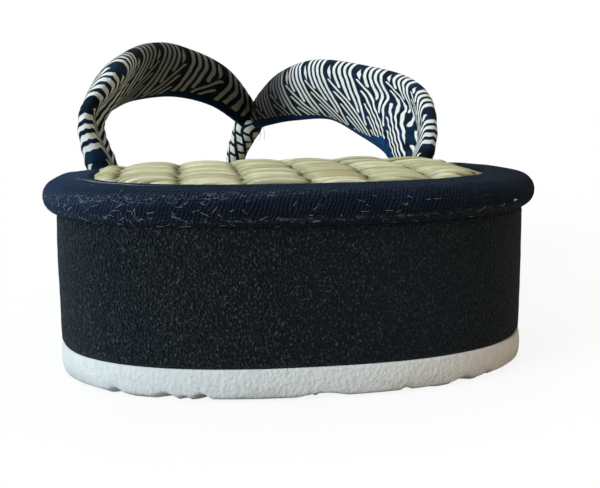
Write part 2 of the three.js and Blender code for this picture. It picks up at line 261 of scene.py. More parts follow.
def under_height(reach):
    """Height of the sole's underside: flat, then a parabola up to the toe."""
    run = np.maximum(0, reach - SPRING_REACH) / (SOLE_LENGTH - SPRING_REACH)
    return TOE_SPRING * run * run


def mat_inset(reach):
    """Distance from the midsole's outline in to the mat's edge."""
    side = smoothstep(25, 75, reach)
    return BORDER_WIDTH + (BORDER_SIDE_WIDTH - BORDER_WIDTH) * side - RIM_OVERHANG


def half_outline(steps=600):
    """Half the outline, heel to toe: superellipse heel, easing side, superellipse toe."""
    turn = np.linspace(0, math.pi / 2, steps)
    heel_x = HEEL_HALF_WIDTH * np.sin(turn) ** (2 / HEEL_SQUARENESS)
    heel_y = HEEL_ROUND * (1 - np.cos(turn) ** (2 / HEEL_SQUARENESS))
    u = np.linspace(0, 1, steps)[1:]
    widen = (BALL_HALF_WIDTH - HEEL_HALF_WIDTH) * (1 - np.cos(math.pi * u)) / 2
    side_x = HEEL_HALF_WIDTH + widen
    side_y = HEEL_ROUND + (BALL_REACH - HEEL_ROUND) * u
    toe_x = BALL_HALF_WIDTH * np.abs(np.cos(turn[1:])) ** (2 / TOE_SQUARENESS)
    toe_y = BALL_REACH + (SOLE_LENGTH - BALL_REACH) * np.sin(turn[1:]) ** (2 / TOE_SQUARENESS)
    points = np.stack([np.concatenate([heel_x, side_x, toe_x]),
                       np.concatenate([heel_y, side_y, toe_y])], axis=1)
    points[0, 0] = points[-1, 0] = 0
    return points


def outline(count):
    """Closed outline at even steps, anticlockwise from the heel, with its outward
    normals and the distance run along it."""
    half = half_outline()
    run = np.concatenate([[0], np.cumsum(np.linalg.norm(np.diff(half, axis=0), axis=1))])
    even = np.linspace(0, run[-1], count // 2 + 1)
    right = np.stack([np.interp(even, run, half[:, i]) for i in (0, 1)], axis=1)
    left = right[-2:0:-1] * (-1, 1)
    points = np.concatenate([right, left])
    along = np.roll(points, -1, axis=0) - np.roll(points, 1, axis=0)
    along /= np.linalg.norm(along, axis=1)[:, None]
    normals = np.stack([along[:, 1], -along[:, 0]], axis=1)
    return points, normals, np.arange(count) * 2 * run[-1] / count


def ring(points, normals, inset, height):
    """The outline moved in by inset along its normals, at the heights given."""
    inset = np.broadcast_to(inset, len(points))[:, None]
    flat = points - normals * inset
    return np.stack([flat[:, 0], flat[:, 1] - HALF_LENGTH,
                     np.broadcast_to(height, len(points))], axis=1)


def middle_line(reach, heel_gap, toe_gap):
    """Places on the sole's middle line abreast of each reach, clear of both ends."""
    return np.column_stack([np.zeros(len(reach)), np.clip(reach, heel_gap, SOLE_LENGTH - toe_gap)])


def wavy(phase, seed, waves=5):
    """Even noise from -1 to 1 round a loop: a sum of sines with seeded phases.
    phase holds the angle round the loop, and seed picks the set of sines."""
    draw = np.random.default_rng(seed)
    total = np.zeros_like(phase)
    for order in range(waves):
        count = draw.integers(3 * 2 ** order, 5 * 2 ** order)
        total += np.sin(phase * count + draw.uniform(0, 2 * math.pi)) / 1.6 ** order
    return total / 2.2


# ---- Meshes ----

def new_object(name, vertices, faces, materials, loop_uv=None, face_slots=None, smooth=True):
    """Mesh object from arrays in millimetres. faces is an array, or a list where faces
    differ in corners. Doubled points are merged, which closes poles and seams. loop_uv is
    one row per face corner."""
    mesh = bpy.data.meshes.new(name)
    corners = faces if isinstance(faces, list) else faces.tolist()
    mesh.from_pydata((np.asarray(vertices) * MM).tolist(), [], corners)
    if loop_uv is not None:
        layer = mesh.uv_layers.new(name="UVMap")
        layer.data.foreach_set("uv", np.asarray(loop_uv, dtype=np.float32).ravel())
    for material in materials:
        mesh.materials.append(material)
    if face_slots is not None:
        mesh.polygons.foreach_set("material_index", face_slots.astype(np.int32))
    work = bmesh.new()
    work.from_mesh(mesh)
    bmesh.ops.remove_doubles(work, verts=work.verts, dist=2e-6)
    work.to_mesh(mesh)
    work.free()
    mesh.polygons.foreach_set("use_smooth", np.full(len(mesh.polygons), smooth))
    mesh.update()
    made = bpy.data.objects.new(name, mesh)
    bpy.context.scene.collection.objects.link(made)
    return made


def grid_faces(rows, columns, wrap_rows, wrap_columns):
    """Quads between the neighbours of a grid of rows by columns points."""
    r = np.arange(rows if wrap_rows else rows - 1)
    c = np.arange(columns if wrap_columns else columns - 1)
    r, c = np.meshgrid(r, c, indexing="ij")
    r2, c2 = (r + 1) % rows, (c + 1) % columns
    corners = [r * columns + c, r2 * columns + c, r2 * columns + c2, r * columns + c2]
    return np.stack(corners, axis=-1).reshape(-1, 4), np.stack([r, c], axis=-1).reshape(-1, 2)


def grid_object(name, points, uv, materials, wrap_rows=False, wrap_columns=True,
                flip=False, slots=None):
    """Surface over a grid of points, rows x columns x 3. uv has one more row and column
    than the faces need, so that it runs on across a wrapped seam."""
    rows, columns = points.shape[:2]
    faces, cells = grid_faces(rows, columns, wrap_rows, wrap_columns)
    r, c = cells[:, 0], cells[:, 1]
    corners = [(r, c), (r + 1, c), (r + 1, c + 1), (r, c + 1)]
    loop_uv = np.stack([uv[a, b] for a, b in corners], axis=1)
    if flip:
        faces, loop_uv = faces[:, ::-1], loop_uv[:, ::-1]
    face_slots = None if slots is None else slots[r, c]
    return new_object(name, points.reshape(-1, 3), faces, materials,
                      loop_uv.reshape(-1, 2), face_slots)


def extended(values, step):
    """Values with one more entry at the end, a step on, for a wrapped seam."""
    return np.concatenate([values, [values[-1] + step]])


def plate_uv(run, distances):
    """UVs in millimetres: distance along the outline, and distance over the profile."""
    across = extended(run, run[1] - run[0])
    down = extended(distances, distances[-1] - distances[-2])
    return np.stack(np.broadcast_arrays(across[None, :], down[:, None]), axis=-1)


def profile_distance(rows):
    """Distance run over a stack of rings, at a place half way round one side."""
    place = rows.shape[1] // 4
    steps = np.linalg.norm(np.diff(rows[:, place], axis=0), axis=1)
    return np.concatenate([[0], np.cumsum(steps)])


# ---- Nodes and materials ----

def add(tree, kind, inputs=None, **settings):
    """Adds a node with its settings. inputs maps a socket to a value, or to the socket
    or node that feeds it."""
    node = tree.nodes.new(kind)
    for key, value in settings.items():
        setattr(node, key, value)
    for key, value in (inputs or {}).items():
        if isinstance(value, bpy.types.Node):
            value = value.outputs[0]
        if isinstance(value, bpy.types.NodeSocket):
            tree.links.new(value, node.inputs[key])
        else:
            node.inputs[key].default_value = value
    return node


def start_material(name):
    """Empty node material, and its tree."""
    material = bpy.data.materials.new(name)
    material.use_nodes = True
    material.node_tree.nodes.clear()
    return material, material.node_tree


def finish_material(tree, shader):
    """Feeds the shader to a new material output."""
    add(tree, "ShaderNodeOutputMaterial", {"Surface": shader})


def pale_sponge_material(colour):
    """Cut sponge rubber sheet: closed foam sliced and sanded, so it is matt and chalky,
    with fine upright sanding streaks, pin pores and dirt picked up from the ground."""
    material, tree = start_material("cut_sponge_rubber_pale")
    place = add(tree, "ShaderNodeTexCoord").outputs["Object"]
    streak_place = add(tree, "ShaderNodeMapping", {"Vector": place, "Scale": (1, 1, 0.35)})
    streaks = add(tree, "ShaderNodeTexNoise",
                  {"Vector": streak_place, "Scale": 1500, "Detail": 3, "Roughness": 0.6})
    pores = add(tree, "ShaderNodeTexVoronoi", {"Vector": place, "Scale": 1500})
    grain = add(tree, "ShaderNodeTexNoise", {"Vector": place, "Scale": 2300, "Detail": 3})
    stains = add(tree, "ShaderNodeTexNoise", {"Vector": place, "Scale": 60, "Detail": 5})
    height = add(tree, "ShaderNodeSeparateXYZ", {"Vector": place}).outputs["Z"]
    low = add(tree, "ShaderNodeMapRange",
              {"Value": height, "From Min": 0.0028, "From Max": 0.0004, "To Max": 0.55})
    stain_band = add(tree, "ShaderNodeMapRange",
                     {"Value": stains, "From Min": 0.42, "From Max": 0.68, "To Max": 1.0})
    dirt = add(tree, "ShaderNodeMath", {0: low, 1: stain_band}, operation="MULTIPLY")
    streak_tone = add(tree, "ShaderNodeMapRange",
                      {"Value": streaks, "From Min": 0.35, "From Max": 0.65, "To Min": 0.92,
                       "To Max": 1.03})
    toned = add(tree, "ShaderNodeMix", {"Factor": 1.0, "A": colour, "B": streak_tone},
                data_type="RGBA", blend_type="MULTIPLY")
    dirty = add(tree, "ShaderNodeMix",
                {"Factor": dirt, "A": toned.outputs["Result"], "B": linear("#8d8575")},
                data_type="RGBA")
    relief = add(tree, "ShaderNodeMath", {0: streaks, 1: grain}, operation="ADD")
    pitted = add(tree, "ShaderNodeMath", {0: relief, 1: pores}, operation="ADD")
    bump = add(tree, "ShaderNodeBump", {"Height": pitted, "Strength": 0.36, "Distance": 0.0003})
    shader = add(tree, "ShaderNodeBsdfPrincipled",
                 {"Base Color": dirty.outputs["Result"], "Roughness": 0.93, "IOR": 1.45,
                  "Specular IOR Level": 0.25, "Normal": bump})
    finish_material(tree, shader)
    return material


def black_sponge_material(colour):
    """Sanded black sponge: open cut cells half a millimetre across, torn by the belt into short
    upright tufts that catch the light, with painted light that makes the tufts paler on the left
    side and painted shade that makes them darker on the right, and grey dust low on the wall."""
    material, tree = start_material("sanded_sponge_black")
    place = add(tree, "ShaderNodeTexCoord").outputs["Object"]
    tuft_place = add(tree, "ShaderNodeMapping", {"Vector": place, "Scale": (1, 1, 0.7)})
    tufts = add(tree, "ShaderNodeTexNoise",
                {"Vector": tuft_place, "Scale": 3300, "Detail": 3, "Roughness": 0.7})
    cells = add(tree, "ShaderNodeTexVoronoi", {"Vector": tuft_place, "Scale": 2600})
    broad = add(tree, "ShaderNodeTexNoise", {"Vector": place, "Scale": 110, "Detail": 4})
    dust_place = add(tree, "ShaderNodeMapping", {"Vector": place, "Scale": (0.35, 0.35, 1.6)})
    dust = add(tree, "ShaderNodeTexNoise",
               {"Vector": dust_place, "Scale": 320, "Detail": 6, "Roughness": 0.7})
    height = add(tree, "ShaderNodeSeparateXYZ", {"Vector": place}).outputs["Z"]
    low = add(tree, "ShaderNodeMapRange",
              {"Value": height, "From Min": 0.020, "From Max": 0.009, "To Min": 0.25})
    dust_band = add(tree, "ShaderNodeMapRange",
                    {"Value": dust, "From Min": 0.60, "From Max": 0.80, "To Max": 0.30})
    dusty = add(tree, "ShaderNodeMath", {0: dust_band, 1: low}, operation="MULTIPLY")
    tips = add(tree, "ShaderNodeMapRange",
               {"Value": tufts, "From Min": 0.42, "From Max": 0.70, "To Min": -0.4, "To Max": 0.58})
    # Painted light and shade: the tufts are made paler towards the left side, which faces the
    # light, and darker towards the right.
    aside = add(tree, "ShaderNodeSeparateXYZ", {"Vector": place}).outputs["X"]
    side_lit = add(tree, "ShaderNodeMapRange",
                 {"Value": aside, "From Min": -0.040, "From Max": 0.038, "To Min": 1.7,
                  "To Max": 0.45})
    tips = add(tree, "ShaderNodeMath", {0: tips, 1: side_lit}, operation="MULTIPLY")
    lit = add(tree, "ShaderNodeMix", {"Factor": tips, "A": colour, "B": linear("#5a686f")},
              data_type="RGBA")
    dusted = add(tree, "ShaderNodeMix",
                 {"Factor": dusty, "A": lit.outputs["Result"], "B": linear("#5d666a")},
                 data_type="RGBA")
    relief = add(tree, "ShaderNodeMath", {0: tufts, 1: cells}, operation="ADD")
    swell = add(tree, "ShaderNodeMath", {0: broad, 1: 1.5}, operation="MULTIPLY")
    total = add(tree, "ShaderNodeMath", {0: relief, 1: swell}, operation="ADD")
    bump = add(tree, "ShaderNodeBump", {"Height": total, "Strength": 1.0, "Distance": 0.0007})
    shader = add(tree, "ShaderNodeBsdfPrincipled",
                 {"Base Color": dusted.outputs["Result"], "Roughness": 0.7, "IOR": 1.45,
                  "Specular IOR Level": 0.10, "Sheen Weight": 0.10, "Sheen Roughness": 0.35,
                  "Sheen Tint": linear("#a9c4d4"), "Normal": bump})
    finish_material(tree, shader)
    return material


def band(tree, value, centre, half_width):
    """1 where value is at centre, easing to 0 at half_width either side."""
    away = add(tree, "ShaderNodeMath", {0: value, 1: centre}, operation="SUBTRACT")
    away = add(tree, "ShaderNodeMath", {0: away}, operation="ABSOLUTE")
    return add(tree, "ShaderNodeMapRange",
               {"Value": away, "From Min": half_width, "From Max": 0.0, "To Max": 1.0},
               interpolation_type="SMOOTHSTEP")


def edge_cloth_material(colour, half_run):
    """Ribbed navy cotton glued over the board: cords about 0.6 mm apart run over the edge, the nap
    is worn pale on top and dusty below, and lint clings to it. Painted light makes it bluer left of
    the heel, and painted shade darkens it right of the heel and below the turn."""
    material, tree = start_material("ribbed_cotton_navy")
    uv = add(tree, "ShaderNodeTexCoord").outputs["UV"]
    parts = add(tree, "ShaderNodeSeparateXYZ", {"Vector": uv})
    along, over = parts.outputs["X"], parts.outputs["Y"]
    warp = add(tree, "ShaderNodeTexNoise", {"Vector": uv, "Scale": 0.35, "Detail": 3})
    skew = add(tree, "ShaderNodeMath", {0: over, 1: 0.35}, operation="MULTIPLY")
    leaning = add(tree, "ShaderNodeMath", {0: along, 1: skew}, operation="ADD")
    swayed = add(tree, "ShaderNodeMath", {0: warp, 1: 1.6, 2: leaning},
                 operation="MULTIPLY_ADD")
    rib_angle = add(tree, "ShaderNodeMath", {0: swayed, 1: 2 * math.pi / 0.62},
                    operation="MULTIPLY")
    ribs = add(tree, "ShaderNodeMath", {0: rib_angle}, operation="SINE")
    cross_angle = add(tree, "ShaderNodeMath", {0: over, 1: 2 * math.pi / 0.55},
                      operation="MULTIPLY")
    cross = add(tree, "ShaderNodeMath", {0: cross_angle}, operation="SINE")
    weave = add(tree, "ShaderNodeMath", {0: cross, 1: 0.35, 2: ribs}, operation="MULTIPLY_ADD")
    fuzz = add(tree, "ShaderNodeTexNoise",
               {"Vector": uv, "Scale": 2.4, "Detail": 6, "Roughness": 0.75})
    patch = add(tree, "ShaderNodeTexNoise", {"Vector": uv, "Scale": 0.16, "Detail": 4})
    scrape_place = add(tree, "ShaderNodeMapping", {"Vector": uv, "Scale": (0.5, 1.6, 1)})
    scrape = add(tree, "ShaderNodeTexNoise",
                 {"Vector": scrape_place, "Scale": 1.9, "Detail": 8, "Roughness": 0.8,
                  "Distortion": 1.2})
    rib_top = add(tree, "ShaderNodeMapRange",
                  {"Value": weave, "From Min": -0.4, "From Max": 1.4, "To Max": 0.38})
    fuzz_tone = add(tree, "ShaderNodeMapRange",
                    {"Value": fuzz, "From Min": 0.35, "From Max": 0.7, "To Min": 0.3,
                     "To Max": 1.0})
    worn = add(tree, "ShaderNodeMath", {0: rib_top, 1: fuzz_tone}, operation="MULTIPLY")
    # side is the distance from the heel's middle, left of it below 0. Painted light makes the cloth
    # bluer left of the heel, and painted shade blackens it right of the heel and below the turn.
    side = add(tree, "ShaderNodeMath", {0: along, 1: half_run, 2: -half_run},
               operation="WRAP")
    # Painted light: left_light pales the cloth left of the heel, on top of the rib wear in worn.
    left_light = band(tree, side, -58.0, 42.0)
    worn = add(tree, "ShaderNodeMath", {0: left_light, 1: 0.40, 2: worn},
               operation="MULTIPLY_ADD")
    # Painted shade: right_shade darkens the cloth right of the heel and takes the paling out there.
    right_shade = band(tree, side, 50.0, 55.0)
    right_shade = add(tree, "ShaderNodeMath", {0: right_shade, 1: 0.85}, operation="MULTIPLY")
    spared = add(tree, "ShaderNodeMath", {0: 1.0, 1: right_shade}, operation="SUBTRACT")
    worn = add(tree, "ShaderNodeMath", {0: worn, 1: spared}, operation="MULTIPLY")
    # Painted shade: the cloth goes near black below the turn of the edge and right of the heel.
    under = add(tree, "ShaderNodeMapRange",
                {"Value": over, "From Min": 8.6, "From Max": 12.5, "To Max": 0.9})
    under = add(tree, "ShaderNodeMath", {0: under, 1: right_shade}, operation="MAXIMUM")
    shaded = add(tree, "ShaderNodeMix", {"Factor": under, "A": colour, "B": linear("#0c0f11")},
                data_type="RGBA")
    # side_lit is the cloth with its rib wear and with the painted light and shade.
    side_lit = add(tree, "ShaderNodeMix",
                 {"Factor": worn, "A": shaded.outputs["Result"], "B": linear("#304464")},
                 data_type="RGBA")
    lint = add(tree, "ShaderNodeMapRange",
               {"Value": scrape, "From Min": 0.53, "From Max": 0.66, "To Max": 0.9})
    patchy = add(tree, "ShaderNodeMapRange",
                 {"Value": patch, "From Min": 0.45, "From Max": 0.62, "To Min": 0.0,
                  "To Max": 0.12})
    # Scuffed bands: a slanting one left of the heel, one along the lower turn of the
    # edge, and a fold line worn pale beside the mat.
    slope = add(tree, "ShaderNodeMath", {0: side, 1: 0.06, 2: over}, operation="MULTIPLY_ADD")
    slanting = band(tree, slope, 8.6, 1.6)
    left = add(tree, "ShaderNodeMapRange",
               {"Value": side, "From Min": 14.0, "From Max": -12.0, "To Max": 0.75})
    slanting = add(tree, "ShaderNodeMath", {0: slanting, 1: left}, operation="MULTIPLY")
    lower = band(tree, over, 13.4, 0.9)
    lower = add(tree, "ShaderNodeMath", {0: lower, 1: 0.55}, operation="MULTIPLY")
    fold_sway = add(tree, "ShaderNodeMath", {0: patch, 1: 1.6, 2: over},
                    operation="MULTIPLY_ADD")
    fold = band(tree, fold_sway, 6.1, 0.35)
    fold_reach = band(tree, side, -36.0, 16.0)
    fold = add(tree, "ShaderNodeMath", {0: fold, 1: fold_reach}, operation="MULTIPLY")
    fold = add(tree, "ShaderNodeMath", {0: fold, 1: 0.8}, operation="MULTIPLY")
    where = add(tree, "ShaderNodeMath", {0: slanting, 1: lower}, operation="MAXIMUM")
    where = add(tree, "ShaderNodeMath", {0: where, 1: patchy}, operation="MAXIMUM")
    dust = add(tree, "ShaderNodeMath", {0: lint, 1: where}, operation="MULTIPLY")
    dust = add(tree, "ShaderNodeMath", {0: dust, 1: fold}, operation="MAXIMUM")
    dusted = add(tree, "ShaderNodeMix",
                 {"Factor": dust, "A": side_lit.outputs["Result"], "B": linear("#9aa6b0")},
                 data_type="RGBA")
    relief = add(tree, "ShaderNodeMath", {0: fuzz, 1: 1.4, 2: weave}, operation="MULTIPLY_ADD")
    bump = add(tree, "ShaderNodeBump", {"Height": relief, "Strength": 0.55, "Distance": 0.00018})
    shader = add(tree, "ShaderNodeBsdfPrincipled",
                 {"Base Color": dusted.outputs["Result"], "Roughness": 0.9, "IOR": 1.45,
                  "Specular IOR Level": 0.05, "Sheen Weight": 0.08, "Sheen Roughness": 0.4,
                  "Sheen Tint": linear("#9fbcd6"), "Normal": bump})
    finish_material(tree, shader)
    return material


def rush_material(colour):
    """Dried rush: each strand a pressed bundle of stems, satin on top, with fine lines
    along it, and from green to straw between strands. U is 0 at a strand's middle and 1 at
    its ends, and V is the strand's own shade from 0 to 1."""
    material, tree = start_material("dried_rush")
    uv = add(tree, "ShaderNodeTexCoord").outputs["UV"]
    parts = add(tree, "ShaderNodeSeparateXYZ", {"Vector": uv})
    place = add(tree, "ShaderNodeTexCoord").outputs["Object"]
    stem_place = add(tree, "ShaderNodeMapping", {"Vector": place, "Scale": (0.10, 1, 1)})
    stems = add(tree, "ShaderNodeTexNoise",
                {"Vector": stem_place, "Scale": 2600, "Detail": 3, "Roughness": 0.6})
    blotch = add(tree, "ShaderNodeTexNoise", {"Vector": place, "Scale": 90, "Detail": 4})
    straw = add(tree, "ShaderNodeMix",
                {"Factor": parts.outputs["Y"], "A": colour, "B": linear("#a3a273")},
                data_type="RGBA")
    stem_tone = add(tree, "ShaderNodeMapRange",
                    {"Value": stems, "From Min": 0.32, "From Max": 0.68, "To Min": 0.78,
                     "To Max": 1.12})
    lined = add(tree, "ShaderNodeMix",
                {"Factor": 1.0, "A": straw.outputs["Result"], "B": stem_tone},
                data_type="RGBA", blend_type="MULTIPLY")
    tan = add(tree, "ShaderNodeMapRange",
              {"Value": blotch, "From Min": 0.55, "From Max": 0.75, "To Max": 0.5})
    aged = add(tree, "ShaderNodeMix",
               {"Factor": tan, "A": lined.outputs["Result"], "B": linear("#a8925f")},
               data_type="RGBA")
    # Strand ends, where they dive between the columns, are given a deeper tone: painted shade of
    # the valleys.
    end = add(tree, "ShaderNodeMapRange",
              {"Value": parts.outputs["X"], "From Min": 0.62, "From Max": 1.0, "To Max": 0.55})
    deep = add(tree, "ShaderNodeMix",
               {"Factor": end, "A": aged.outputs["Result"], "B": linear("#5e5a38")},
               data_type="RGBA")
    bump = add(tree, "ShaderNodeBump", {"Height": stems, "Strength": 0.5, "Distance": 0.00015})
    shader = add(tree, "ShaderNodeBsdfPrincipled",
                 {"Base Color": deep.outputs["Result"], "Roughness": 0.52, "IOR": 1.5,
                  "Specular IOR Level": 0.35, "Normal": bump})
    finish_material(tree, shader)
    return material


def print_mask(tree, along, down, thinner):
    """Mask of the cream lines. In each repeat upright lines start at the strap's ridge,
    and each runs further down than the last. Slanting lines start under them, one below
    the other, parallel to the step they make, and a kite fills the gap on top. thinner is
    taken off each side of a line."""
    across = add(tree, "ShaderNodeCombineXYZ", {"X": along, "Y": down})
    wobble = add(tree, "ShaderNodeTexNoise", {"Vector": across, "Scale": 0.22, "Detail": 2})
    shift = add(tree, "ShaderNodeMath", {0: wobble, 1: 1.2, 2: along},
                operation="MULTIPLY_ADD")
    place = add(tree, "ShaderNodeMath",
                {0: shift, 1: PRINT_FIRST + PRINT_REPEAT, 2: PRINT_FIRST}, operation="WRAP")
    depth = add(tree, "ShaderNodeMath", {0: down}, operation="ABSOLUTE")
    # Upright lines: the distance to the nearest one, which has a round end
    line = add(tree, "ShaderNodeMath", {0: place, 1: UPRIGHT_PITCH}, operation="DIVIDE")
    line = add(tree, "ShaderNodeMath", {0: line}, operation="ROUND")
    line = add(tree, "ShaderNodeMath", {0: line, 1: 0.0}, operation="MAXIMUM")
    line = add(tree, "ShaderNodeMath", {0: line, 1: UPRIGHT_LINES - 1}, operation="MINIMUM")
    aside = add(tree, "ShaderNodeMath", {0: line, 1: -UPRIGHT_PITCH, 2: place},
                operation="MULTIPLY_ADD")
    end = add(tree, "ShaderNodeMath", {0: line, 1: UPRIGHT_DROP, 2: UPRIGHT_END},
              operation="MULTIPLY_ADD")
    past = add(tree, "ShaderNodeMath", {0: depth, 1: end}, operation="SUBTRACT")
    past = add(tree, "ShaderNodeMath", {0: past, 1: 0.0}, operation="MAXIMUM")
    stroke = add(tree, "ShaderNodeCombineXYZ", {"X": aside, "Y": past})
    upright = add(tree, "ShaderNodeVectorMath", {0: stroke}, operation="LENGTH")
    upright = add(tree, "ShaderNodeMath",
                  {0: upright.outputs["Value"], 1: UPRIGHT_HALF_WIDTH}, operation="SUBTRACT")
    # Slanting lines: the distance to the nearest one, which has a round top
    slant = add(tree, "ShaderNodeMath", {0: depth, 1: -SLANT_SLOPE, 2: place},
                operation="MULTIPLY_ADD")
    lane = add(tree, "ShaderNodeMath", {0: slant, 1: SLANT_BACK}, operation="ADD")
    lane = add(tree, "ShaderNodeMath", {0: lane, 1: -SLANT_PITCH}, operation="DIVIDE")
    lane = add(tree, "ShaderNodeMath", {0: lane}, operation="ROUND")
    lane = add(tree, "ShaderNodeMath", {0: lane, 1: 0.0}, operation="MAXIMUM")
    lane = add(tree, "ShaderNodeMath", {0: lane, 1: SLANT_LINES - 1}, operation="MINIMUM")
    centre = add(tree, "ShaderNodeMath", {0: lane, 1: SLANT_PITCH, 2: SLANT_BACK},
                 operation="MULTIPLY_ADD")
    off = add(tree, "ShaderNodeMath", {0: slant, 1: centre}, operation="ADD")
    off = add(tree, "ShaderNodeMath", {0: off, 1: 1 / math.hypot(1, SLANT_SLOPE)},
              operation="MULTIPLY")
    start = add(tree, "ShaderNodeMath", {0: lane, 1: SLANT_DROP, 2: SLANT_START},
                operation="MULTIPLY_ADD")
    short = add(tree, "ShaderNodeMath", {0: start, 1: depth}, operation="SUBTRACT")
    short = add(tree, "ShaderNodeMath", {0: short, 1: 0.0}, operation="MAXIMUM")
    stroke = add(tree, "ShaderNodeCombineXYZ", {"X": off, "Y": short})
    slanting = add(tree, "ShaderNodeVectorMath", {0: stroke}, operation="LENGTH")
    slanting = add(tree, "ShaderNodeMath",
                   {0: slanting.outputs["Value"], 1: SLANT_HALF_WIDTH}, operation="SUBTRACT")
    # Kite in the dark gap at the ridge
    kite_x = add(tree, "ShaderNodeMath", {0: place, 1: KITE_ALONG}, operation="SUBTRACT")
    kite_x = add(tree, "ShaderNodeMath", {0: kite_x}, operation="ABSOLUTE")
    kite_y = add(tree, "ShaderNodeMath", {0: depth, 1: KITE_DOWN}, operation="SUBTRACT")
    kite_y = add(tree, "ShaderNodeMath", {0: kite_y}, operation="ABSOLUTE")
    kite = add(tree, "ShaderNodeMath", {0: kite_y, 1: KITE_SLIMNESS, 2: kite_x},
               operation="MULTIPLY_ADD")
    kite = add(tree, "ShaderNodeMath", {0: kite, 1: KITE_HALF_WIDTH}, operation="SUBTRACT")
    nearest = add(tree, "ShaderNodeMath", {0: upright, 1: slanting}, operation="MINIMUM")
    nearest = add(tree, "ShaderNodeMath", {0: nearest, 1: kite}, operation="MINIMUM")
    return add(tree, "ShaderNodeMapRange",
               {"Value": nearest, "From Min": PRINT_SOFTNESS - thinner,
                "From Max": -PRINT_SOFTNESS - thinner, "To Max": 1.0})


def paint_strap_shade(tree, colour, left_over):
    """Darkens the straps' cloth with painted shade forward of a line that slants from the left
    strap's top to the right strap's end. left_over is the share of the colour's light that remains."""
    place = add(tree, "ShaderNodeSeparateXYZ",
                {"Vector": add(tree, "ShaderNodeTexCoord").outputs["Object"]})
    ahead = add(tree, "ShaderNodeMath",
                {0: place.outputs["X"], 1: -0.7, 2: place.outputs["Y"]},
                operation="MULTIPLY_ADD")
    unshaded = add(tree, "ShaderNodeMapRange",
                {"Value": ahead, "From Min": -0.009, "From Max": 0.005, "To Min": 1.0,
                 "To Max": left_over})
    return add(tree, "ShaderNodeMix", {"Factor": 1.0, "A": colour, "B": unshaded},
               data_type="RGBA", blend_type="MULTIPLY").outputs["Result"]


def strap_cloth_material(name, ground, line_colour, thinner, left_over):
    """Printed cotton over wadding: plain weave of 0.35 mm threads, drawn at 0.5 mm so that it
    shows, matt, with the print's cream lines a little raised by their ink. thinner goes to
    print_mask, and left_over goes to paint_strap_shade, which paints shade on the cloth towards the
    straps' meeting."""
    material, tree = start_material(name)
    uv = add(tree, "ShaderNodeTexCoord").outputs["UV"]
    parts = add(tree, "ShaderNodeSeparateXYZ", {"Vector": uv})
    mask = print_mask(tree, parts.outputs["X"], parts.outputs["Y"], thinner)
    tone = add(tree, "ShaderNodeTexNoise", {"Vector": uv, "Scale": 0.3, "Detail": 3})
    thread = add(tree, "ShaderNodeTexNoise",
                 {"Vector": uv, "Scale": 3.2, "Detail": 3, "Roughness": 0.7})
    ground_tone = add(tree, "ShaderNodeMapRange",
                      {"Value": tone, "From Min": 0.40, "From Max": 0.65, "To Max": 0.75})
    dark = add(tree, "ShaderNodeMix",
               {"Factor": ground_tone, "A": ground, "B": linear("#12304a")}, data_type="RGBA")
    line_tone = add(tree, "ShaderNodeMapRange",
                    {"Value": thread, "From Min": 0.35, "From Max": 0.7, "To Max": 0.5})
    pale = add(tree, "ShaderNodeMix",
               {"Factor": line_tone, "A": line_colour, "B": linear("#bdbcae")},
               data_type="RGBA")
    printed = add(tree, "ShaderNodeMix",
                  {"Factor": mask, "A": dark.outputs["Result"], "B": pale.outputs["Result"]},
                  data_type="RGBA")
    # Painted shade: the cloth is darkened towards the straps' meeting, where the straps lie in
    # shade.
    strap_shaded = paint_strap_shade(tree, printed.outputs["Result"], left_over)
    warp_angle = add(tree, "ShaderNodeMath", {0: parts.outputs["X"], 1: 2 * math.pi / 0.5},
                     operation="MULTIPLY")
    weft_angle = add(tree, "ShaderNodeMath", {0: parts.outputs["Y"], 1: 2 * math.pi / 0.5},
                     operation="MULTIPLY")
    warp = add(tree, "ShaderNodeMath", {0: warp_angle}, operation="SINE")
    weft = add(tree, "ShaderNodeMath", {0: weft_angle}, operation="SINE")
    weave = add(tree, "ShaderNodeMath", {0: warp, 1: weft}, operation="MULTIPLY")
    relief = add(tree, "ShaderNodeMath", {0: thread, 1: 2.0, 2: weave},
                 operation="MULTIPLY_ADD")
    inked = add(tree, "ShaderNodeMath", {0: mask, 1: 1.2, 2: relief}, operation="MULTIPLY_ADD")
    bump = add(tree, "ShaderNodeBump", {"Height": inked, "Strength": 0.4, "Distance": 0.00012})
    shader = add(tree, "ShaderNodeBsdfPrincipled",
                 {"Base Color": strap_shaded, "Roughness": 0.86, "IOR": 1.45,
                  "Specular IOR Level": 0.08, "Sheen Weight": 0.02, "Sheen Roughness": 0.5,
                  "Normal": bump})
    finish_material(tree, shader)
    return material


def post_cloth_material(ground, block_colour):
    """Printed cotton round the toe post: rounded cream blocks, 2.2 mm long, staggered in
    columns on the navy ground, matt, with the weave showing through."""
    material, tree = start_material("printed_cotton_post")
    uv = add(tree, "ShaderNodeTexCoord").outputs["UV"]
    wobble = add(tree, "ShaderNodeTexNoise", {"Vector": uv, "Scale": 0.35, "Detail": 2})
    bent = add(tree, "ShaderNodeMix", {"Factor": 0.22, "A": uv, "B": wobble.outputs["Color"]},
               data_type="VECTOR")
    blocks = add(tree, "ShaderNodeTexBrick",
                 {"Vector": bent.outputs[1], "Color1": block_colour, "Color2": linear("#b9bdb4"),
                  "Mortar": ground, "Scale": 1.0, "Mortar Size": 0.55, "Mortar Smooth": 0.25,
                  "Brick Width": 3.0, "Row Height": 2.6}, offset=0.5)
    thread = add(tree, "ShaderNodeTexNoise", {"Vector": uv, "Scale": 3.2, "Detail": 3})
    bump = add(tree, "ShaderNodeBump", {"Height": thread, "Strength": 0.4, "Distance": 0.00015})
    shader = add(tree, "ShaderNodeBsdfPrincipled",
                 {"Base Color": blocks.outputs["Color"], "Roughness": 0.8,
                  "Specular IOR Level": 0.15, "Normal": bump})
    finish_material(tree, shader)
    return material


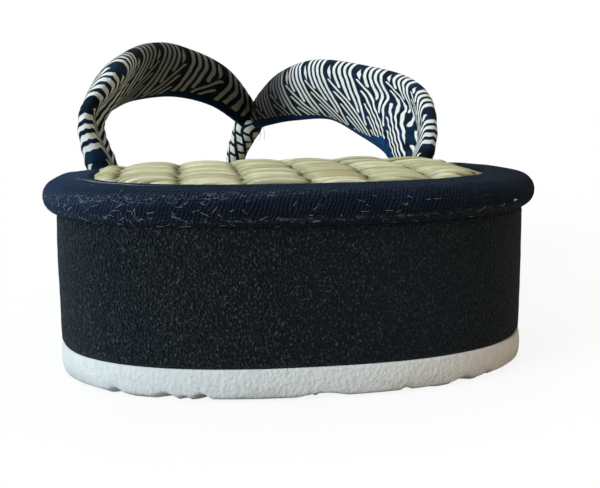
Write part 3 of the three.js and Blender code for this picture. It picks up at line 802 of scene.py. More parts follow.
def velour_material(colour):
    """Cotton velour: a cut pile that is deep blue face on and glows along its edges, worn in uneven
    patches, with painted shade towards the straps' meeting as on the strap cloth."""
    material, tree = start_material("cotton_velour_blue")
    place = add(tree, "ShaderNodeTexCoord").outputs["Object"]
    pile = add(tree, "ShaderNodeTexNoise",
               {"Vector": place, "Scale": 2600, "Detail": 3, "Roughness": 0.7})
    rub = add(tree, "ShaderNodeTexNoise", {"Vector": place, "Scale": 220, "Detail": 4})
    tone = add(tree, "ShaderNodeMapRange",
               {"Value": rub, "From Min": 0.35, "From Max": 0.7, "To Max": 0.7})
    nap = add(tree, "ShaderNodeMix", {"Factor": tone, "A": colour, "B": linear("#0d2442")},
              data_type="RGBA")
    bump = add(tree, "ShaderNodeBump", {"Height": pile, "Strength": 0.6, "Distance": 0.0002})
    # Painted shade from paint_strap_shade darkens the lining towards the straps' meeting.
    shader = add(tree, "ShaderNodeBsdfPrincipled",
                 {"Base Color": paint_strap_shade(tree, nap.outputs["Result"], 0.25), "Roughness": 0.95,
                  "Specular IOR Level": 0.05, "Sheen Weight": 0.12, "Sheen Roughness": 0.35,
                  "Sheen Tint": linear("#5d8fc4"), "Normal": bump})
    finish_material(tree, shader)
    return material


def lint_material():
    """Loose cotton fibre: off-white, slightly see-through, so soft and without shine."""
    material, tree = start_material("cotton_lint")
    place = add(tree, "ShaderNodeTexCoord").outputs["Object"]
    tone = add(tree, "ShaderNodeTexNoise", {"Vector": place, "Scale": 400})
    colour = add(tree, "ShaderNodeMix",
                 {"Factor": tone, "A": linear("#c9cdcf"), "B": linear("#8c949a")},
                 data_type="RGBA")
    shader = add(tree, "ShaderNodeBsdfPrincipled",
                 {"Base Color": colour.outputs["Result"], "Roughness": 0.9,
                  "Specular IOR Level": 0.2})
    finish_material(tree, shader)
    return material


def floor_material():
    """Plain matt white board for the stage."""
    material, tree = start_material("white_board")
    place = add(tree, "ShaderNodeTexCoord").outputs["Object"]
    grain = add(tree, "ShaderNodeTexNoise", {"Vector": place, "Scale": 30})
    colour = add(tree, "ShaderNodeMix",
                 {"Factor": grain, "A": linear("#b4b4b3"), "B": linear("#b0b0af")},
                 data_type="RGBA")
    matt = add(tree, "ShaderNodeBsdfPrincipled",
               {"Base Color": colour.outputs["Result"], "Roughness": 1.0,
                "Specular IOR Level": 0.0})
    # The board is lit from below as well, for the camera alone, so its shadows stay pale.
    glow = add(tree, "ShaderNodeEmission", {"Color": (1, 1, 1, 1), "Strength": 1.19})
    seen = add(tree, "ShaderNodeLightPath").outputs["Is Camera Ray"]
    share = add(tree, "ShaderNodeMath", {0: seen, 1: 0.74}, operation="MULTIPLY")
    shader = add(tree, "ShaderNodeMixShader", {0: share, 1: matt, 2: glow})
    finish_material(tree, shader)
    return material


# ---- Pieces of the sole ----

def tread_relief(x, reach, depth):
    """Height of the tread over its ground plane: zigzag grooves across the sole, sunk by
    depth, and a fine rib every 2.3 mm between them."""
    span = 2 * (BALL_HALF_WIDTH + RIM_OVERHANG)
    wave = span / TREAD_ZIGS
    phase = np.mod((x + span / 2) / wave, 1)
    zigzag = TREAD_WAVE / 2 * (1 - 4 * np.abs(phase - 0.5))
    place = reach - TREAD_FIRST - zigzag + TREAD_PITCH / 2
    aside = np.abs(np.mod(place, TREAD_PITCH) - TREAD_PITCH / 2)
    groove = 1 - smoothstep(TREAD_GROOVE / 2 - 0.45, TREAD_GROOVE / 2 + 0.45, aside)
    fine = 0.12 * (1 - np.cos(2 * math.pi * place / 2.3)) / 2
    return depth * groove + fine * (1 - groove)


def make_outsole(sole, finish):
    """Sheet with a ripple tread. The rows run from the middle of the top face, down the
    wall and in over the tread to the middle line. The wall's lower edge is nibbled by a
    sum of sines along its length and by round nicks."""
    count, wall_rows, tread_rows = 1120, 12, 56
    points, normals, run = outline(count)
    reach = points[:, 1]
    turn = run / run[-1] * 2 * math.pi
    axis = middle_line(reach, 14, 20)
    top = under_height(reach) + OUTSOLE_THICKNESS + 0.15
    # Nicks: distance from the heel's middle, depth and half width. The listed ones are round the
    # heel, and the rest are scattered.
    draw = np.random.default_rng(3)
    placed = np.array([(-31, 0.9, 1.6), (-22.5, 0.8, 2.2), (-19.6, 0.5, 1.2),
                       (-16.8, 0.9, 1.8), (1.5, 0.6, 5.0), (14.5, 0.5, 1.4),
                       (25.0, 0.8, 3.0), (30.5, 0.6, 2.0)])
    scattered = np.column_stack([draw.uniform(45, run[-1] - 45, 30),
                                 draw.uniform(0.25, 1.0, 30), draw.uniform(1.2, 3.0, 30)])
    nicks, depths, widths = np.concatenate([placed, scattered]).T
    gap = np.abs(np.mod(run[:, None] - nicks + run[-1] / 2, run[-1]) - run[-1] / 2)
    cut = (depths * (1 - smoothstep(0, 1, gap / widths))).max(axis=1)
    nibble = np.clip(0.05 + 0.28 * wavy(turn, 5, 5) + cut, 0, 1.2) * sole.worn_edge
    rows = [np.column_stack([axis[:, 0], axis[:, 1] - HALF_LENGTH,
                             under_height(axis[:, 1]) + OUTSOLE_THICKNESS + 0.15])]
    soft = 0.25 * wavy(turn, 21, 4)
    for fall in np.linspace(0, 1, wall_rows):
        edge = 0.8 * smoothstep(0.86, 1.0, fall) ** 2 - 0.25 * np.sin(math.pi * fall)
        bottom = under_height(reach) + nibble + 0.3
        rows.append(ring(points, normals, edge + soft * fall * 0.4, top + (bottom - top) * fall))
    for share in np.linspace(0.018, 1, tread_rows):
        flat = (points - normals * 0.8) * (1 - share) + axis * share
        worn = nibble * (1 - smoothstep(0.02, 0.16, share))
        height = under_height(flat[:, 1]) + np.maximum(
            worn, tread_relief(flat[:, 0], flat[:, 1], sole.tread_depth))
        rows.append(np.column_stack([flat[:, 0], flat[:, 1] - HALF_LENGTH, height]))
    grid = np.stack(rows)
    made = grid_object("outsole_sheet", grid, plate_uv(run, profile_distance(grid)),
                       [pale_sponge_material(finish.pale_sponge)])
    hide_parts("outsole")
    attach(made, "root")
    return made


def make_midsole(finish):
    """Wedge wall from the board's underside to the sheet, a little hollow and uneven, with
    the glue line at its foot drawn in."""
    count, wall_rows = 900, 30
    points, normals, run = outline(count)
    reach = points[:, 1]
    turn = run / run[-1] * 2 * math.pi
    top = top_height(reach) - RIM_THICKNESS + 0.1
    bottom = under_height(reach) + OUTSOLE_THICKNESS + 0.1
    axis = middle_line(reach, 14, 20)
    rows = [np.column_stack([axis[:, 0], axis[:, 1] - HALF_LENGTH,
                             top_height(axis[:, 1]) - RIM_THICKNESS + 0.1])]
    for fall in np.linspace(0, 1, wall_rows):
        lip = 0.35 * smoothstep(0.985, 1.0, fall) + 0.25 * smoothstep(0.03, 0.0, fall)
        swell = 0.10 * wavy(turn + 0.9 * fall, 31, 6) + 0.12 * np.sin(math.pi * fall)
        rows.append(ring(points, normals, lip - swell, top + (bottom - top) * fall))
    rows.append(np.column_stack([axis[:, 0], axis[:, 1] - HALF_LENGTH,
                                 under_height(axis[:, 1]) + OUTSOLE_THICKNESS + 0.1]))
    grid = np.stack(rows)
    made = grid_object("midsole_wedge", grid, plate_uv(run, profile_distance(grid)),
                       [black_sponge_material(finish.black_sponge)])
    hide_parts("midsole")
    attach(made, "root")
    return made


def rim_profile(arc_steps=26):
    """Inset and height of the board's cloth-covered edge, from inside the mat's recess,
    up over its rolled lip, round the full edge and back underneath. Inset is counted from
    the midsole's outline, with the mat's edge as share 1 of the border."""
    radius = RIM_THICKNESS / 2
    border = [(1.04, 0, -3.4), (1.04, 0, -1.6), (1.02, 0, -0.5), (0.985, 0, 0.0),
              (0.93, 0, 0.28), (0.84, 0, 0.36), (0.7, 0, 0.34), (0.5, 0, 0.25),
              (0.3, 0, 0.14), (0.16, 0, 0.05)]
    arc = []
    for angle in np.linspace(math.pi / 2, -math.pi / 2, arc_steps):
        inset = radius * (1 - math.cos(angle)) - RIM_OVERHANG
        arc.append((0, inset, radius * math.sin(angle) - radius))
    under = [(0.35, 0, -RIM_THICKNESS), (1.04, 0, -RIM_THICKNESS)]
    return np.array(border + arc + under)


def rim_grid(count):
    """Grid of the edge board's skin, its outline run and its profile distances."""
    points, normals, run = outline(count)
    reach = points[:, 1]
    turn = run / run[-1] * 2 * math.pi
    start = RIM_THICKNESS / 2 - RIM_OVERHANG
    width = mat_inset(reach) - start
    rows = []
    profile = rim_profile()
    for index, (share, inset, height) in enumerate(profile):
        place = start + width * share if share else inset
        sway = 0.10 * wavy(turn + index * 0.03, 41, 5)
        rows.append(ring(points, normals, place + sway, top_height(reach) + height))
    grid = np.stack(rows)
    return grid, run, profile_distance(grid)


def make_rim(finish):
    """Cloth-covered edge board, a closed ring round the mat."""
    grid, run, distance = rim_grid(1000)
    cloth = edge_cloth_material(finish.edge_cloth, (run[-1] + run[1]) / 2)
    made = grid_object("edge_board", grid, plate_uv(run, distance), [cloth], wrap_rows=True)
    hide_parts("rim")
    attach(made, "root")
    return made


def fibre_object(name, starts, middles, ends, thickness, material):
    """Many thin fibres as one mesh: each a three-sided tube along the quadratic curve from
    start through middle to end."""
    steps, sides = 6, 3
    t = np.linspace(0, 1, steps + 1)[None, :, None]
    path = ((1 - t) ** 2 * starts[:, None] + 2 * t * (1 - t) * middles[:, None]
            + t ** 2 * ends[:, None])
    along = np.gradient(path, axis=1)
    along /= np.linalg.norm(along, axis=2)[..., None]
    first = np.cross(along, np.array([0.31, 0.52, 0.8]))
    first /= np.linalg.norm(first, axis=2)[..., None]
    second = np.cross(along, first)
    angle = np.arange(sides) / sides * 2 * math.pi
    around = (first[:, :, None] * np.cos(angle)[:, None]
              + second[:, :, None] * np.sin(angle)[:, None])
    points = path[:, :, None] + around * thickness[:, None, None, None] / 2
    sides_of_one, _ = grid_faces(steps + 1, sides, False, True)
    ends_of_one = np.array([[0, 1, 2], [0, 2, 1]]) + np.array([[0], [steps * sides]])
    first_index = (np.arange(len(starts)) * (steps + 1) * sides)[:, None, None]
    faces = ((sides_of_one + first_index).reshape(-1, 4).tolist()
             + (ends_of_one + first_index).reshape(-1, 3).tolist())
    return new_object(name, points.reshape(-1, 3), faces, [material])


def make_lint(sole):
    """Loose fibres lying on the edge cloth, thickest round the heel and towards the lower
    side of the roll."""
    draw = np.random.default_rng(77)
    grid, _, _ = rim_grid(1000)
    count = sole.lint_count
    columns = grid.shape[1]
    heel = np.mod(draw.normal(-0.045, 0.05, count), 1)
    anywhere = draw.uniform(0, 1, count)
    place = np.where(draw.uniform(0, 1, count) < 0.72, heel, anywhere)
    column = (place * columns).astype(int) % columns
    row = np.clip(draw.normal(27, 6, count), 6, 35).astype(int)
    step = draw.integers(0, 3, count)
    drift = draw.integers(-2, 3, count)
    step = np.where((step == 0) & (drift == 0), 1, step)
    start = grid[row, column]
    end = grid[np.clip(row + drift, 5, 36), (column + step) % columns]
    middle = (start + end) / 2
    centre = np.column_stack([np.zeros(count), np.clip(middle[:, 1], -95, 95),
                              top_height(middle[:, 1] + HALF_LENGTH) - RIM_THICKNESS / 2])
    outward = middle - centre
    outward /= np.linalg.norm(outward, axis=1)[:, None]
    lift = draw.uniform(0.05, 0.35, count)[:, None]
    thickness = draw.uniform(0.025, 0.055, count)
    # The first is a thick crumb of lint that sits right of the heel.
    crumb_row, crumb_column = 24, 57
    start[0], end[0] = grid[crumb_row, crumb_column], grid[crumb_row, crumb_column + 1]
    middle[0] = (start[0] + end[0]) / 2
    outward[0] = (0.4, -0.9, 0.1)
    thickness[0] = 0.5
    made = fibre_object("edge_lint", start + outward * 0.05, middle + outward * lift,
                        end + outward * 0.05, thickness, lint_material())
    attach(made, "root")
    return made


# ---- Mat ----

def mat_surface(x, reach, column_width):
    """Height of the mat's face: the rim's top line, plus a crown, less the stitched
    valleys between columns."""
    dome = 1 - (x / BALL_HALF_WIDTH) ** 4
    ends = 1 - np.abs(2 * reach / SOLE_LENGTH - 1) ** 6
    column = np.abs(np.sin(math.pi * (x - MAT_COLUMN_OFFSET) / column_width))
    return (top_height(reach) + MAT_CROWN * dome * ends
            + MAT_VALLEY * (column ** 0.6 - 1) + 0.3)


def mat_edges(extra):
    """The mat's outline as tables: half width by reach, and heel and toe reach by x."""
    points, normals, _ = outline(1440)
    inner = points - normals * (mat_inset(points[:, 1]) + extra)[:, None]
    right = inner[:721]
    widest = int(np.argmax(right[:, 0]))
    return right, widest


def edge_fall(x, reach, edge):
    """0 inside the mat and 1 at its edge, over the last 2.5 mm."""
    near = np.full(x.shape, 1e9)
    for part in np.array_split(edge, 12):
        gap = np.hypot(np.abs(x)[..., None] - part[:, 0], reach[..., None] - part[:, 1])
        near = np.minimum(near, gap.min(axis=-1))
    return 1 - smoothstep(0, 2.5, near)


def hole_dip(x, reach):
    """0 to 1 near the two strap holes and the post's hole, for the dimples round them."""
    dip = np.zeros(np.shape(x))
    for centre_x, centre_reach, wide, deep in ((-34.6, 77.3, 4.2, 7.2), (34.6, 76.5, 4.2, 7.2),
                                               (-0.75, 172.8, 4.2, 4.2)):
        away = np.hypot((x - centre_x) / wide, (reach - centre_reach) / deep)
        dip = np.maximum(dip, 1 - smoothstep(0.75, 1.25, away))
    return dip


def make_mat_bed(sole, material):
    """The bed under the strands: the mat's columned face inside its outline, sunk 0.6 mm,
    closed below by a flat back."""
    edge, _ = mat_edges(0.35)
    count, rows_in = 480, 40
    points, normals, _ = outline(count)
    rim_line = points - normals * (mat_inset(points[:, 1]) + 0.35)[:, None]
    axis = middle_line(rim_line[:, 1], 26, 40)
    rows = []
    for share in np.linspace(1, 0, rows_in):
        flat = rim_line * (1 - share) + axis * share
        x, reach = flat[:, 0], flat[:, 1]
        height = (mat_surface(x, reach, sole.column_width) - 0.6
                  - 0.8 * edge_fall(x, reach, edge) - 1.6 * hole_dip(x, reach))
        rows.append(np.column_stack([x, reach - HALF_LENGTH, height]))
    back = top_height(rim_line[:, 1]) - 2.6
    rows.append(np.column_stack([rim_line[:, 0], rim_line[:, 1] - HALF_LENGTH, back]))
    rows.append(np.column_stack([axis[:, 0], axis[:, 1] - HALF_LENGTH,
                                 top_height(axis[:, 1]) - 2.6]))
    grid = np.stack(rows)
    # The bed has the painted valley shade of the strand ends, and a middling strand tone.
    uv = np.broadcast_to((0.9, 0.5), (len(grid) + 1, count + 1, 2))
    made = grid_object("mat_bed", grid, uv, [material])
    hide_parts("mat")
    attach(made, "root")
    return made


def make_strands(sole, material):
    """Rush strands, each a flattened tube across one column. Five make a bundle, drawn
    together at its ends, which dive into the valleys. Bundles are staggered from column to
    column. Points outside the mat's outline slide back to it."""
    draw = np.random.default_rng(11)
    edge, widest = mat_edges(0.25)
    per_bundle, steps = 5, 10
    first_reach, stagger_share = 5.6, 0.45
    half_thickness, sunk, bundle_round, dive_depth = 0.62, 0.50, 0.26, 0.24
    pitch = sole.strand_width
    bundle = pitch * per_bundle
    columns = np.arange(-5, 5)
    bundles = np.arange(0, int(SOLE_LENGTH / bundle) + 1)
    column, group, member = np.meshgrid(columns, bundles, np.arange(per_bundle), indexing="ij")
    column, group, member = column.ravel(), group.ravel(), member.ravel()
    total = len(column)
    stagger = np.where(column % 2 == 0, 0.0, bundle * stagger_share)
    sway = draw.normal(0, 0.35, (len(columns), len(bundles)))[column + 5, group]
    centre = first_reach + bundle * (0.5 + group - stagger_share) + stagger + sway
    slope = draw.normal(0.0, 0.028, (len(columns), len(bundles)))[column + 5, group]
    bow = draw.normal(0.25, 0.25, (len(columns), len(bundles)))[column + 5, group]
    spread = (member - (per_bundle - 1) / 2) * pitch
    lift = draw.normal(0, 0.16, total)
    width = pitch * draw.uniform(0.86, 1.08, total)
    yaw = draw.normal(0, 0.022, total)
    t = np.linspace(-1, 1, steps + 1)[None, :]
    start = MAT_COLUMN_OFFSET + column[:, None] * sole.column_width
    overrun = draw.uniform(-0.25, 0.35, (total, 2))
    left, right = start - overrun[:, :1], start + sole.column_width + overrun[:, 1:]
    x = (left + right) / 2 + (right - left) / 2 * t
    pinch = 1 - 0.30 * np.abs(t) ** 3
    reach = (centre[:, None] + spread[:, None] * pinch + bow[:, None] * (1 - t * t)
             + (slope + yaw)[:, None] * 5 * t)
    half = width[:, None] / 2 * (1 - 0.42 * np.abs(t) ** 4)
    thick = half_thickness * (1 - 0.35 * np.abs(t) ** 4)
    # Bundles are rounded: their outer strands sit lower, which opens the dark gaps.
    outer = (np.abs(member - (per_bundle - 1) / 2) / ((per_bundle - 1) / 2)) ** 2
    angle = np.radians(np.array([0, 90, 180, 270]) + np.array([20, 0, -20, 0]))
    section_y, section_z = np.cos(angle), np.sin(angle)
    py = reach[..., None] + half[..., None] * section_y
    px = np.broadcast_to(x[..., None], py.shape)
    side = np.sign(px) * np.minimum(np.abs(px), edge[:, 0].max() - 0.02)
    heel_line = np.interp(np.abs(side), edge[:widest + 1, 0], edge[:widest + 1, 1])
    toe_line = np.interp(-np.abs(side), -edge[widest:, 0], edge[widest:, 1])
    kept = np.clip(py, heel_line, toe_line)
    squeeze_span = kept.max(axis=2) - kept.min(axis=2)
    squeezed = np.clip(squeeze_span / (2 * half * section_y.max()), 0.1, 1)
    thick = thick * squeezed
    surface = mat_surface(side, kept, sole.column_width)
    fall = edge_fall(side[..., 0], kept[..., 0], edge)[..., None]
    dive = dive_depth * np.abs(t) ** 5
    height = (surface - sunk + (lift - bundle_round * outer)[:, None, None] - dive[..., None]
              + thick[..., None] * section_z - 0.8 * fall)
    points = np.stack([side, kept - HALF_LENGTH, height], axis=-1)
    # Strands squeezed flat against the edge, or over a hole, are left out.
    spans = squeeze_span.max(axis=1)
    lengths = side[:, -1, 0] - side[:, 0, 0]
    holes = hole_dip(side.mean(axis=(1, 2)), kept.mean(axis=(1, 2)))
    keep = (spans > 0.5) & (lengths > 1.5) & (holes < 0.55)
    points = points[keep]
    shade = draw.uniform(0.02, 0.98, total)[keep]
    sides = len(angle)
    quads, cells = grid_faces(steps + 1, sides, False, True)
    block = (steps + 1) * sides
    ends = np.array([[0, 1, 2, 3]])
    far = np.array([[3, 2, 1, 0]]) + steps * sides
    one = np.concatenate([quads, ends, far])
    faces = (one[None] + (np.arange(len(points)) * block)[:, None, None]).reshape(-1, 4)
    ring_share = np.abs(np.linspace(-1, 1, steps + 1))
    corner_share = ring_share[(one % block) // sides]
    loop_u = np.broadcast_to(corner_share, (len(points), *corner_share.shape))
    loop_v = np.broadcast_to(shade[:, None, None], loop_u.shape)
    loop_uv = np.stack([loop_u, loop_v], axis=-1).reshape(-1, 2)
    mesh_object = new_object("rush_strands", points.reshape(-1, 3), faces, [material], loop_uv)
    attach(mesh_object, "root")
    return mesh_object


# ---- Straps ----

def strap_grid(rows, side, crease, stations=230, around=64):
    """Grid of a strap's skin. Each section is a lens on the strap's broad and thick axes,
    fatter at the ridge, with a fold sunk beside the ridge near the hole and faint puckers.
    Returns the points, the length run, the distance down from the ridge and the distance
    from the hole. Column 0 is the ridge, and columns run down the heel side first."""
    t = np.linspace(0, 1, stations) ** 0.9
    table = read_rows(rows, t)
    middle = np.column_stack([side * table[:, 1], table[:, 0] - HALF_LENGTH, table[:, 2]])
    along = np.gradient(middle, axis=0)
    along /= np.linalg.norm(along, axis=1)[:, None]
    lean = np.radians(table[:, 5])
    broad_way = np.column_stack([side * table[:, 6], -np.cos(lean), np.sin(lean)])
    broad_way -= along * (broad_way * along).sum(axis=1)[:, None]
    broad_way /= np.linalg.norm(broad_way, axis=1)[:, None]
    heel_way = np.cross(along, broad_way) * -side
    run = np.concatenate([[0], np.cumsum(np.linalg.norm(np.diff(middle, axis=0), axis=1))])
    angle = np.arange(around) / around * 2 * math.pi
    cos, sin = np.cos(angle), np.sin(angle)
    lens = np.sign(sin) * np.abs(sin) ** 0.96 * (1 + 0.04 * cos)
    broad, thick = table[:, 3:4] / 2, table[:, 4:5] / 2
    near_hole = (1 - smoothstep(18, 38, run))[:, None] * smoothstep(2, 8, run)[:, None]
    near_meet = smoothstep(run[-1] - 22, run[-1] - 4, run)[:, None]
    fold = np.exp(-((cos[None] - 0.36) / 0.20) ** 2) * (sin > 0)
    pucker = np.sin(run[:, None] * 1.9 + 3 * cos[None]) * (0.10 * near_hole + 0.12 * near_meet)
    hollow = 0.5 * np.exp(-((cos[None] + 0.1) / 0.5) ** 2) * (sin > 0) * (1 - near_hole)
    offset = thick * lens[None] + (pucker - crease * near_hole * fold
                                   - 0.3 * hollow) * np.sign(sin)[None]
    points = (middle[:, None] + broad_way[:, None] * (broad * cos[None])[..., None]
              + heel_way[:, None] * offset[..., None])
    step = np.linalg.norm(np.roll(points, -1, axis=1) - points, axis=2)
    down_heel = np.concatenate([np.zeros((stations, 1)), np.cumsum(step, axis=1)], axis=1)
    total = down_heel[:, -1:]
    down = np.where(down_heel <= total / 2, down_heel, down_heel - total)
    return points, middle, run, down, total / 2


def from_meeting(steps):
    """Adds up the steps between stations, counted back from the meeting end."""
    return np.concatenate([np.cumsum(steps[::-1])[::-1], [0]])


def print_place(points, middle, run, down, scale, gather):
    """Where each point lies on the flat printed cloth: distance back from the meeting of
    the straps, and depth. The heel side is a flat panel, so there the distance is level
    and the depth is plumb, counted from the highest part of the ridge further on. Round
    the ridge itself the cloth follows the strap's bend by the hole. The cloth is stretched
    by scale over the panel, and by gather more at the meeting."""
    heading = (middle[-1] - middle[0]) * (1, 1, 0)
    heading /= np.linalg.norm(heading)
    level, level_middle = points @ heading, middle @ heading
    slack = scale * (1 - gather * smoothstep(run[-1] - 26, run[-1] - 6, run)
                     + 0.25 * (1 - smoothstep(16, 40, run)))
    steps = np.diff(level_middle) * (slack[1:] + slack[:-1]) / 2
    back = from_meeting(steps)
    panel = (np.interp(level, level_middle, back)
             + np.maximum(0, level_middle[0] - level) * slack[0])
    bent = 1 - smoothstep(18, 34, run[1:])
    ridge = np.linalg.norm(np.diff(points[:, 0], axis=0), axis=1)
    ridge_place = from_meeting(bent * ridge * math.sqrt(scale) - (1 - bent) * np.diff(panel[:, 0]))
    highest = np.maximum.accumulate(points[::-1, 0, 2])[::-1]
    on_panel = smoothstep(1.8, 6.2, down)
    place = ridge_place[:, None] * (1 - on_panel) + panel * on_panel
    plumb = np.maximum(highest[:, None] - points[..., 2], 0)
    depth = np.abs(down) * (1 - on_panel) + plumb * on_panel
    return place, depth


def make_strap(name, rows, side, phase, scale, gather, crease, straps, cloth, lining):
    """One padded strap with its printed cloth and its lining, which shows along the
    lower edge on the heel side and more below on the toe side. The UVs are the print's
    own millimetres: back along the strap with the lines' slant, and down from the ridge."""
    points, middle, run, down, half = strap_grid(rows, side, crease)
    around = points.shape[1]
    shell = np.concatenate([points, points[:, :1]], axis=1)
    place, depth = print_place(shell, middle, run, down, scale, gather)
    hook = 1.2 * np.exp(-(depth / 2) ** 2)
    along = place - straps.print_slant * depth - hook + phase
    uv = np.stack([along, depth * 0.95], axis=-1)
    middle_down = (down[:, :-1] + down[:, 1:]) / 2
    near_hole = 1 - smoothstep(12, 32, run)[:, None]
    edge = half - straps.lining_width * (1 + 0.3 * near_hole)
    slots = np.where(middle_down < 0, -middle_down > 0.72 * half, middle_down > edge)
    ends = [np.repeat(points[i:i + 1].mean(axis=1)[:, None], around, axis=1) for i in (0, -1)]
    grid = np.concatenate([ends[0], points, ends[1]])
    uv = np.concatenate([uv[:1], uv, uv[-1:], uv[-1:]])
    slots = np.concatenate([slots[:1], slots, slots[-1:]]).astype(int)
    made = grid_object(name, grid, uv, [cloth, lining], flip=side > 0, slots=slots)
    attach(made, "root")
    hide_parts("straps")
    return made


def make_toe_post(cloth):
    """Toe post: folded cloth round a cord. The section is an ellipse with three pleats
    that twist a little on the way up, pulled in under the straps' meeting."""
    stations, around = 120, 72
    t = np.linspace(0, 1, stations)
    table = read_rows(TOE_POST, t)
    middle = np.column_stack([table[:, 1], table[:, 0] - HALF_LENGTH, table[:, 2]])
    along = np.gradient(middle, axis=0)
    along /= np.linalg.norm(along, axis=1)[:, None]
    wide_way = np.array([1.0, 0, 0]) - along * along[:, :1]
    wide_way /= np.linalg.norm(wide_way, axis=1)[:, None]
    deep_way = np.cross(along, wide_way)
    run = np.concatenate([[0], np.cumsum(np.linalg.norm(np.diff(middle, axis=0), axis=1))])
    angle = np.arange(around) / around * 2 * math.pi
    twist = angle[None] + 0.05 * run[:, None]
    pleat = (np.exp(-(np.sin((twist - 3.9) / 2) / 0.13) ** 2) * 0.11
             + np.exp(-(np.sin((twist - 5.3) / 2) / 0.10) ** 2) * 0.07
             + np.exp(-(np.sin((twist - 1.2) / 2) / 0.12) ** 2) * 0.09)
    size = 1 - pleat
    points = (middle[:, None]
              + wide_way[:, None] * (table[:, 3:4] / 2 * np.cos(angle) * size)[..., None]
              + deep_way[:, None] * (table[:, 4:5] / 2 * np.sin(angle) * size)[..., None])
    ends = [np.repeat(points[i:i + 1].mean(axis=1)[:, None], around, axis=1) for i in (0, -1)]
    grid = np.concatenate([ends[0], points, ends[1]])
    step = np.linalg.norm(np.roll(points, -1, axis=1) - points, axis=2)
    down = np.concatenate([np.zeros((stations, 1)), np.cumsum(step, axis=1)], axis=1)
    down = np.concatenate([down[:1], down, down[-1:]])
    run = np.concatenate([[0], run, [run[-1]]])
    uv = np.stack([np.broadcast_to(run[:, None], down.shape), down + 0.8], axis=-1)
    uv = np.concatenate([uv, uv[-1:]], axis=0)
    made = grid_object("toe_post_cloth", grid, uv, [cloth], flip=True)
    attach(made, "root")
    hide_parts("toe_post")
    return made


def make_threads():
    """A few loose threads hanging where the straps meet."""
    starts = np.array([(7.2, 38.0, 37.2), (6.6, 38.2, 36.6), (5.8, 39.0, 36.4)])
    middles = starts + np.array([(1.6, -0.8, -1.4), (1.2, -1.0, -2.6), (0.8, -0.6, -1.4)])
    ends = starts + np.array([(0.9, -1.0, -4.6), (-0.4, -0.8, -4.2), (1.5, -0.4, -2.6)])
    made = fibre_object("loose_threads", starts, middles, ends,
                        np.array([0.12, 0.10, 0.10]), lint_material())
    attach(made, "root")
    return made


# ---- Stage ----

# Where the camera stands and looks: metres in the object's frame, angles in radians
CAMERA_PLACE = Vector((-0.0195, -0.2453, 0.0442))
CAMERA_YAW = 0.137
CAMERA_DIP = 0.160
CAMERA_ROLL = -0.0096
CAMERA_LENS = 52.5


def make_camera():
    """Camera behind the heel, a little to its left, looking forward and down."""
    yaw, dip, roll = CAMERA_YAW, CAMERA_DIP, CAMERA_ROLL
    forward = Vector((math.sin(yaw) * math.cos(dip), math.cos(yaw) * math.cos(dip),
                      -math.sin(dip)))
    right = Vector((math.cos(yaw), -math.sin(yaw), 0))
    up = right.cross(forward)
    level_right, level_up = right.copy(), up.copy()
    right = level_right * math.cos(roll) + level_up * math.sin(roll)
    up = level_up * math.cos(roll) - level_right * math.sin(roll)
    data = bpy.data.cameras.new("camera")
    data.lens = CAMERA_LENS
    data.sensor_width = 36
    data.clip_start = 0.01
    camera = bpy.data.objects.new("camera", data)
    turn = Matrix((right, up, -forward)).transposed()
    camera.matrix_world = Matrix.Translation(CAMERA_PLACE) @ turn.to_4x4()
    bpy.context.scene.collection.objects.link(camera)
    bpy.context.scene.camera = camera


def make_light(name, towards, strength, angle, colour):
    """Distant soft light shining from the direction given. angle is its softness in
    degrees."""
    data = bpy.data.lights.new(name, "SUN")
    data.angle = math.radians(angle)
    data.energy = strength
    data.color = linear(colour)[:3]
    lamp = bpy.data.objects.new(name, data)
    lamp.rotation_mode = "QUATERNION"
    lamp.rotation_quaternion = (-Vector(towards)).to_track_quat("-Z", "Y")
    bpy.context.scene.collection.objects.link(lamp)


def make_card():
    """Small warm card on the floor, to the right of the heel, that lifts the outsole."""
    data = bpy.data.lights.new("card", "AREA")
    data.size = 0.08
    data.energy = 0.085
    data.color = linear("#ffd2a0")[:3]
    lamp = bpy.data.objects.new("card", data)
    lamp.location = (0.12, -0.22, 0.012)
    lamp.rotation_mode = "QUATERNION"
    lamp.rotation_quaternion = Vector((-0.085, 0.10, -0.008)).to_track_quat("-Z", "Y")
    lamp.visible_camera = False
    bpy.context.scene.collection.objects.link(lamp)


def make_world(strength):
    """White room: even light on the object, and plain white behind it."""
    world = bpy.data.worlds.new("white_room")
    world.use_nodes = True
    tree = world.node_tree
    tree.nodes.clear()
    room = add(tree, "ShaderNodeBackground", {"Color": linear("#f4f6fa"), "Strength": strength})
    back = add(tree, "ShaderNodeBackground", {"Color": (1, 1, 1, 1), "Strength": 1.0})
    seen = add(tree, "ShaderNodeLightPath").outputs["Is Camera Ray"]
    mixed = add(tree, "ShaderNodeMixShader", {0: seen, 1: room, 2: back})
    add(tree, "ShaderNodeOutputWorld", {"Surface": mixed})
    bpy.context.scene.world = world


def make_floor():
    """Plain board under the zori, 6 m square."""
    size = 6.0
    corners = np.array([(-1, -1, 0), (1, -1, 0), (1, 1, 0), (-1, 1, 0)]) * size / 2 / MM
    made = new_object("floor", corners, np.array([[0, 1, 2, 3]]), [floor_material()],
                      smooth=False)


# ---- Operators and panel ----

class ZORI_OT_outsole(Operator):
    """Make the pale sponge outsole with its tread"""

    bl_idname = "zori.outsole"
    bl_label = "Outsole"

    def execute(self, context):
        make_outsole(context.scene.zori_sole, context.scene.zori_finish)
        return {"FINISHED"}


class ZORI_OT_midsole(Operator):
    """Make the black sponge wedge"""

    bl_idname = "zori.midsole"
    bl_label = "Wedge"

    def execute(self, context):
        make_midsole(context.scene.zori_finish)
        return {"FINISHED"}


class ZORI_OT_rim(Operator):
    """Make the cloth-covered edge board and its lint"""

    bl_idname = "zori.rim"
    bl_label = "Edge board"

    def execute(self, context):
        make_rim(context.scene.zori_finish)
        make_lint(context.scene.zori_sole)
        return {"FINISHED"}


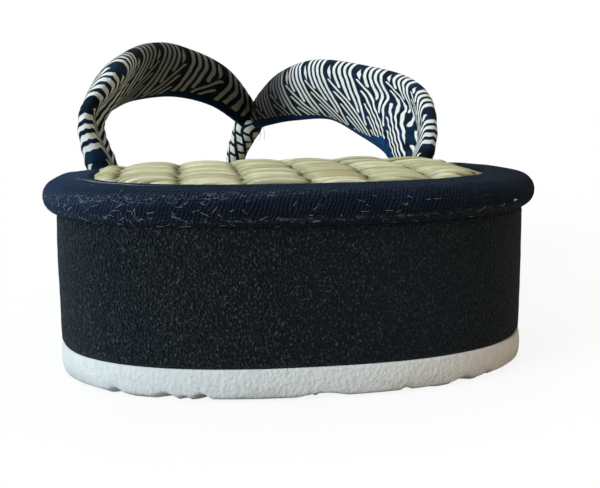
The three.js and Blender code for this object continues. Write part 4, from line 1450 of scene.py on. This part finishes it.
class ZORI_OT_mat(Operator):
    """Make the rush mat: its bed and its strands"""

    bl_idname = "zori.mat"
    bl_label = "Rush mat"

    def execute(self, context):
        material = rush_material(context.scene.zori_finish.rush)
        make_mat_bed(context.scene.zori_sole, material)
        make_strands(context.scene.zori_sole, material)
        return {"FINISHED"}


class ZORI_OT_straps(Operator):
    """Make the two padded straps"""

    bl_idname = "zori.straps"
    bl_label = "Straps"

    def execute(self, context):
        finish, straps = context.scene.zori_finish, context.scene.zori_straps
        # left_over sets how dark the painted shade towards the straps' meeting is on each strap.
        right_cloth = strap_cloth_material(
            "printed_cotton_right_strap", finish.strap_ground, finish.strap_line,
            thinner=0.07, left_over=0.14)
        left_cloth = strap_cloth_material(
            "printed_cotton_left_strap", finish.strap_ground, finish.strap_line,
            thinner=0.07, left_over=0.34)
        lining = velour_material(finish.velour)
        make_strap("strap_left", LEFT_STRAP, side=-1, phase=8.0, scale=0.58, gather=0.0,
                   crease=straps.crease_depth * 0.6, straps=straps, cloth=left_cloth,
                   lining=lining)
        make_strap("strap_right", RIGHT_STRAP, side=1, phase=1.8, scale=0.94, gather=0.45,
                   crease=straps.crease_depth, straps=straps, cloth=right_cloth,
                   lining=lining)
        return {"FINISHED"}


class ZORI_OT_toe_post(Operator):
    """Make the toe post and its loose threads"""

    bl_idname = "zori.toe_post"
    bl_label = "Toe post"

    def execute(self, context):
        finish = context.scene.zori_finish
        make_toe_post(post_cloth_material(finish.strap_ground, finish.strap_line))
        make_threads()
        return {"FINISHED"}


class ZORI_OT_stage(Operator):
    """Set the floor, the lights and the camera"""

    bl_idname = "zori.stage"
    bl_label = "Stage"

    def execute(self, context):
        make_camera()
        make_floor()
        make_world(0.13)
        make_light("window", (-0.86, -0.46, 0.42), 3.5, 35, "#e6f2ff")
        make_light("overhead", (-0.1, 0.25, 1.0), 1.7, 60, "#fffaf0")
        make_card()
        context.scene.view_settings.view_transform = "Standard"
        return {"FINISHED"}


PIECES = (ZORI_OT_stage, ZORI_OT_outsole, ZORI_OT_midsole, ZORI_OT_rim, ZORI_OT_mat,
          ZORI_OT_straps, ZORI_OT_toe_post)


class ZORI_PT_panel(Panel):
    """Buttons for the pieces and the sizes and colours they use"""

    bl_label = "Zori Sandal"
    bl_idname = "ZORI_PT_panel"
    bl_space_type = "VIEW_3D"
    bl_region_type = "UI"
    bl_category = "Zori"

    def draw(self, context):
        for group in (context.scene.zori_sole, context.scene.zori_straps,
                      context.scene.zori_finish):
            box = self.layout.box()
            for key in group.__annotations__:
                box.prop(group, key)
        for piece in PIECES:
            self.layout.operator(piece.bl_idname)


CLASSES = (SoleSettings, StrapSettings, FinishSettings, *PIECES, ZORI_PT_panel)


def register():
    for item in CLASSES:
        bpy.utils.register_class(item)
    bpy.types.Scene.zori_sole = PointerProperty(type=SoleSettings)
    bpy.types.Scene.zori_straps = PointerProperty(type=StrapSettings)
    bpy.types.Scene.zori_finish = PointerProperty(type=FinishSettings)


def unregister():
    del bpy.types.Scene.zori_finish
    del bpy.types.Scene.zori_straps
    del bpy.types.Scene.zori_sole
    for item in reversed(CLASSES):
        bpy.utils.unregister_class(item)


def main():
    register()
    for make in (bpy.ops.zori.stage, bpy.ops.zori.outsole, bpy.ops.zori.midsole,
                 bpy.ops.zori.rim, bpy.ops.zori.mat, bpy.ops.zori.straps,
                 bpy.ops.zori.toe_post):
        if "FINISHED" not in make():
            raise RuntimeError(f"{make} did not finish")
    bpy.context.view_layer.update()


if __name__ == "__main__":
    main()
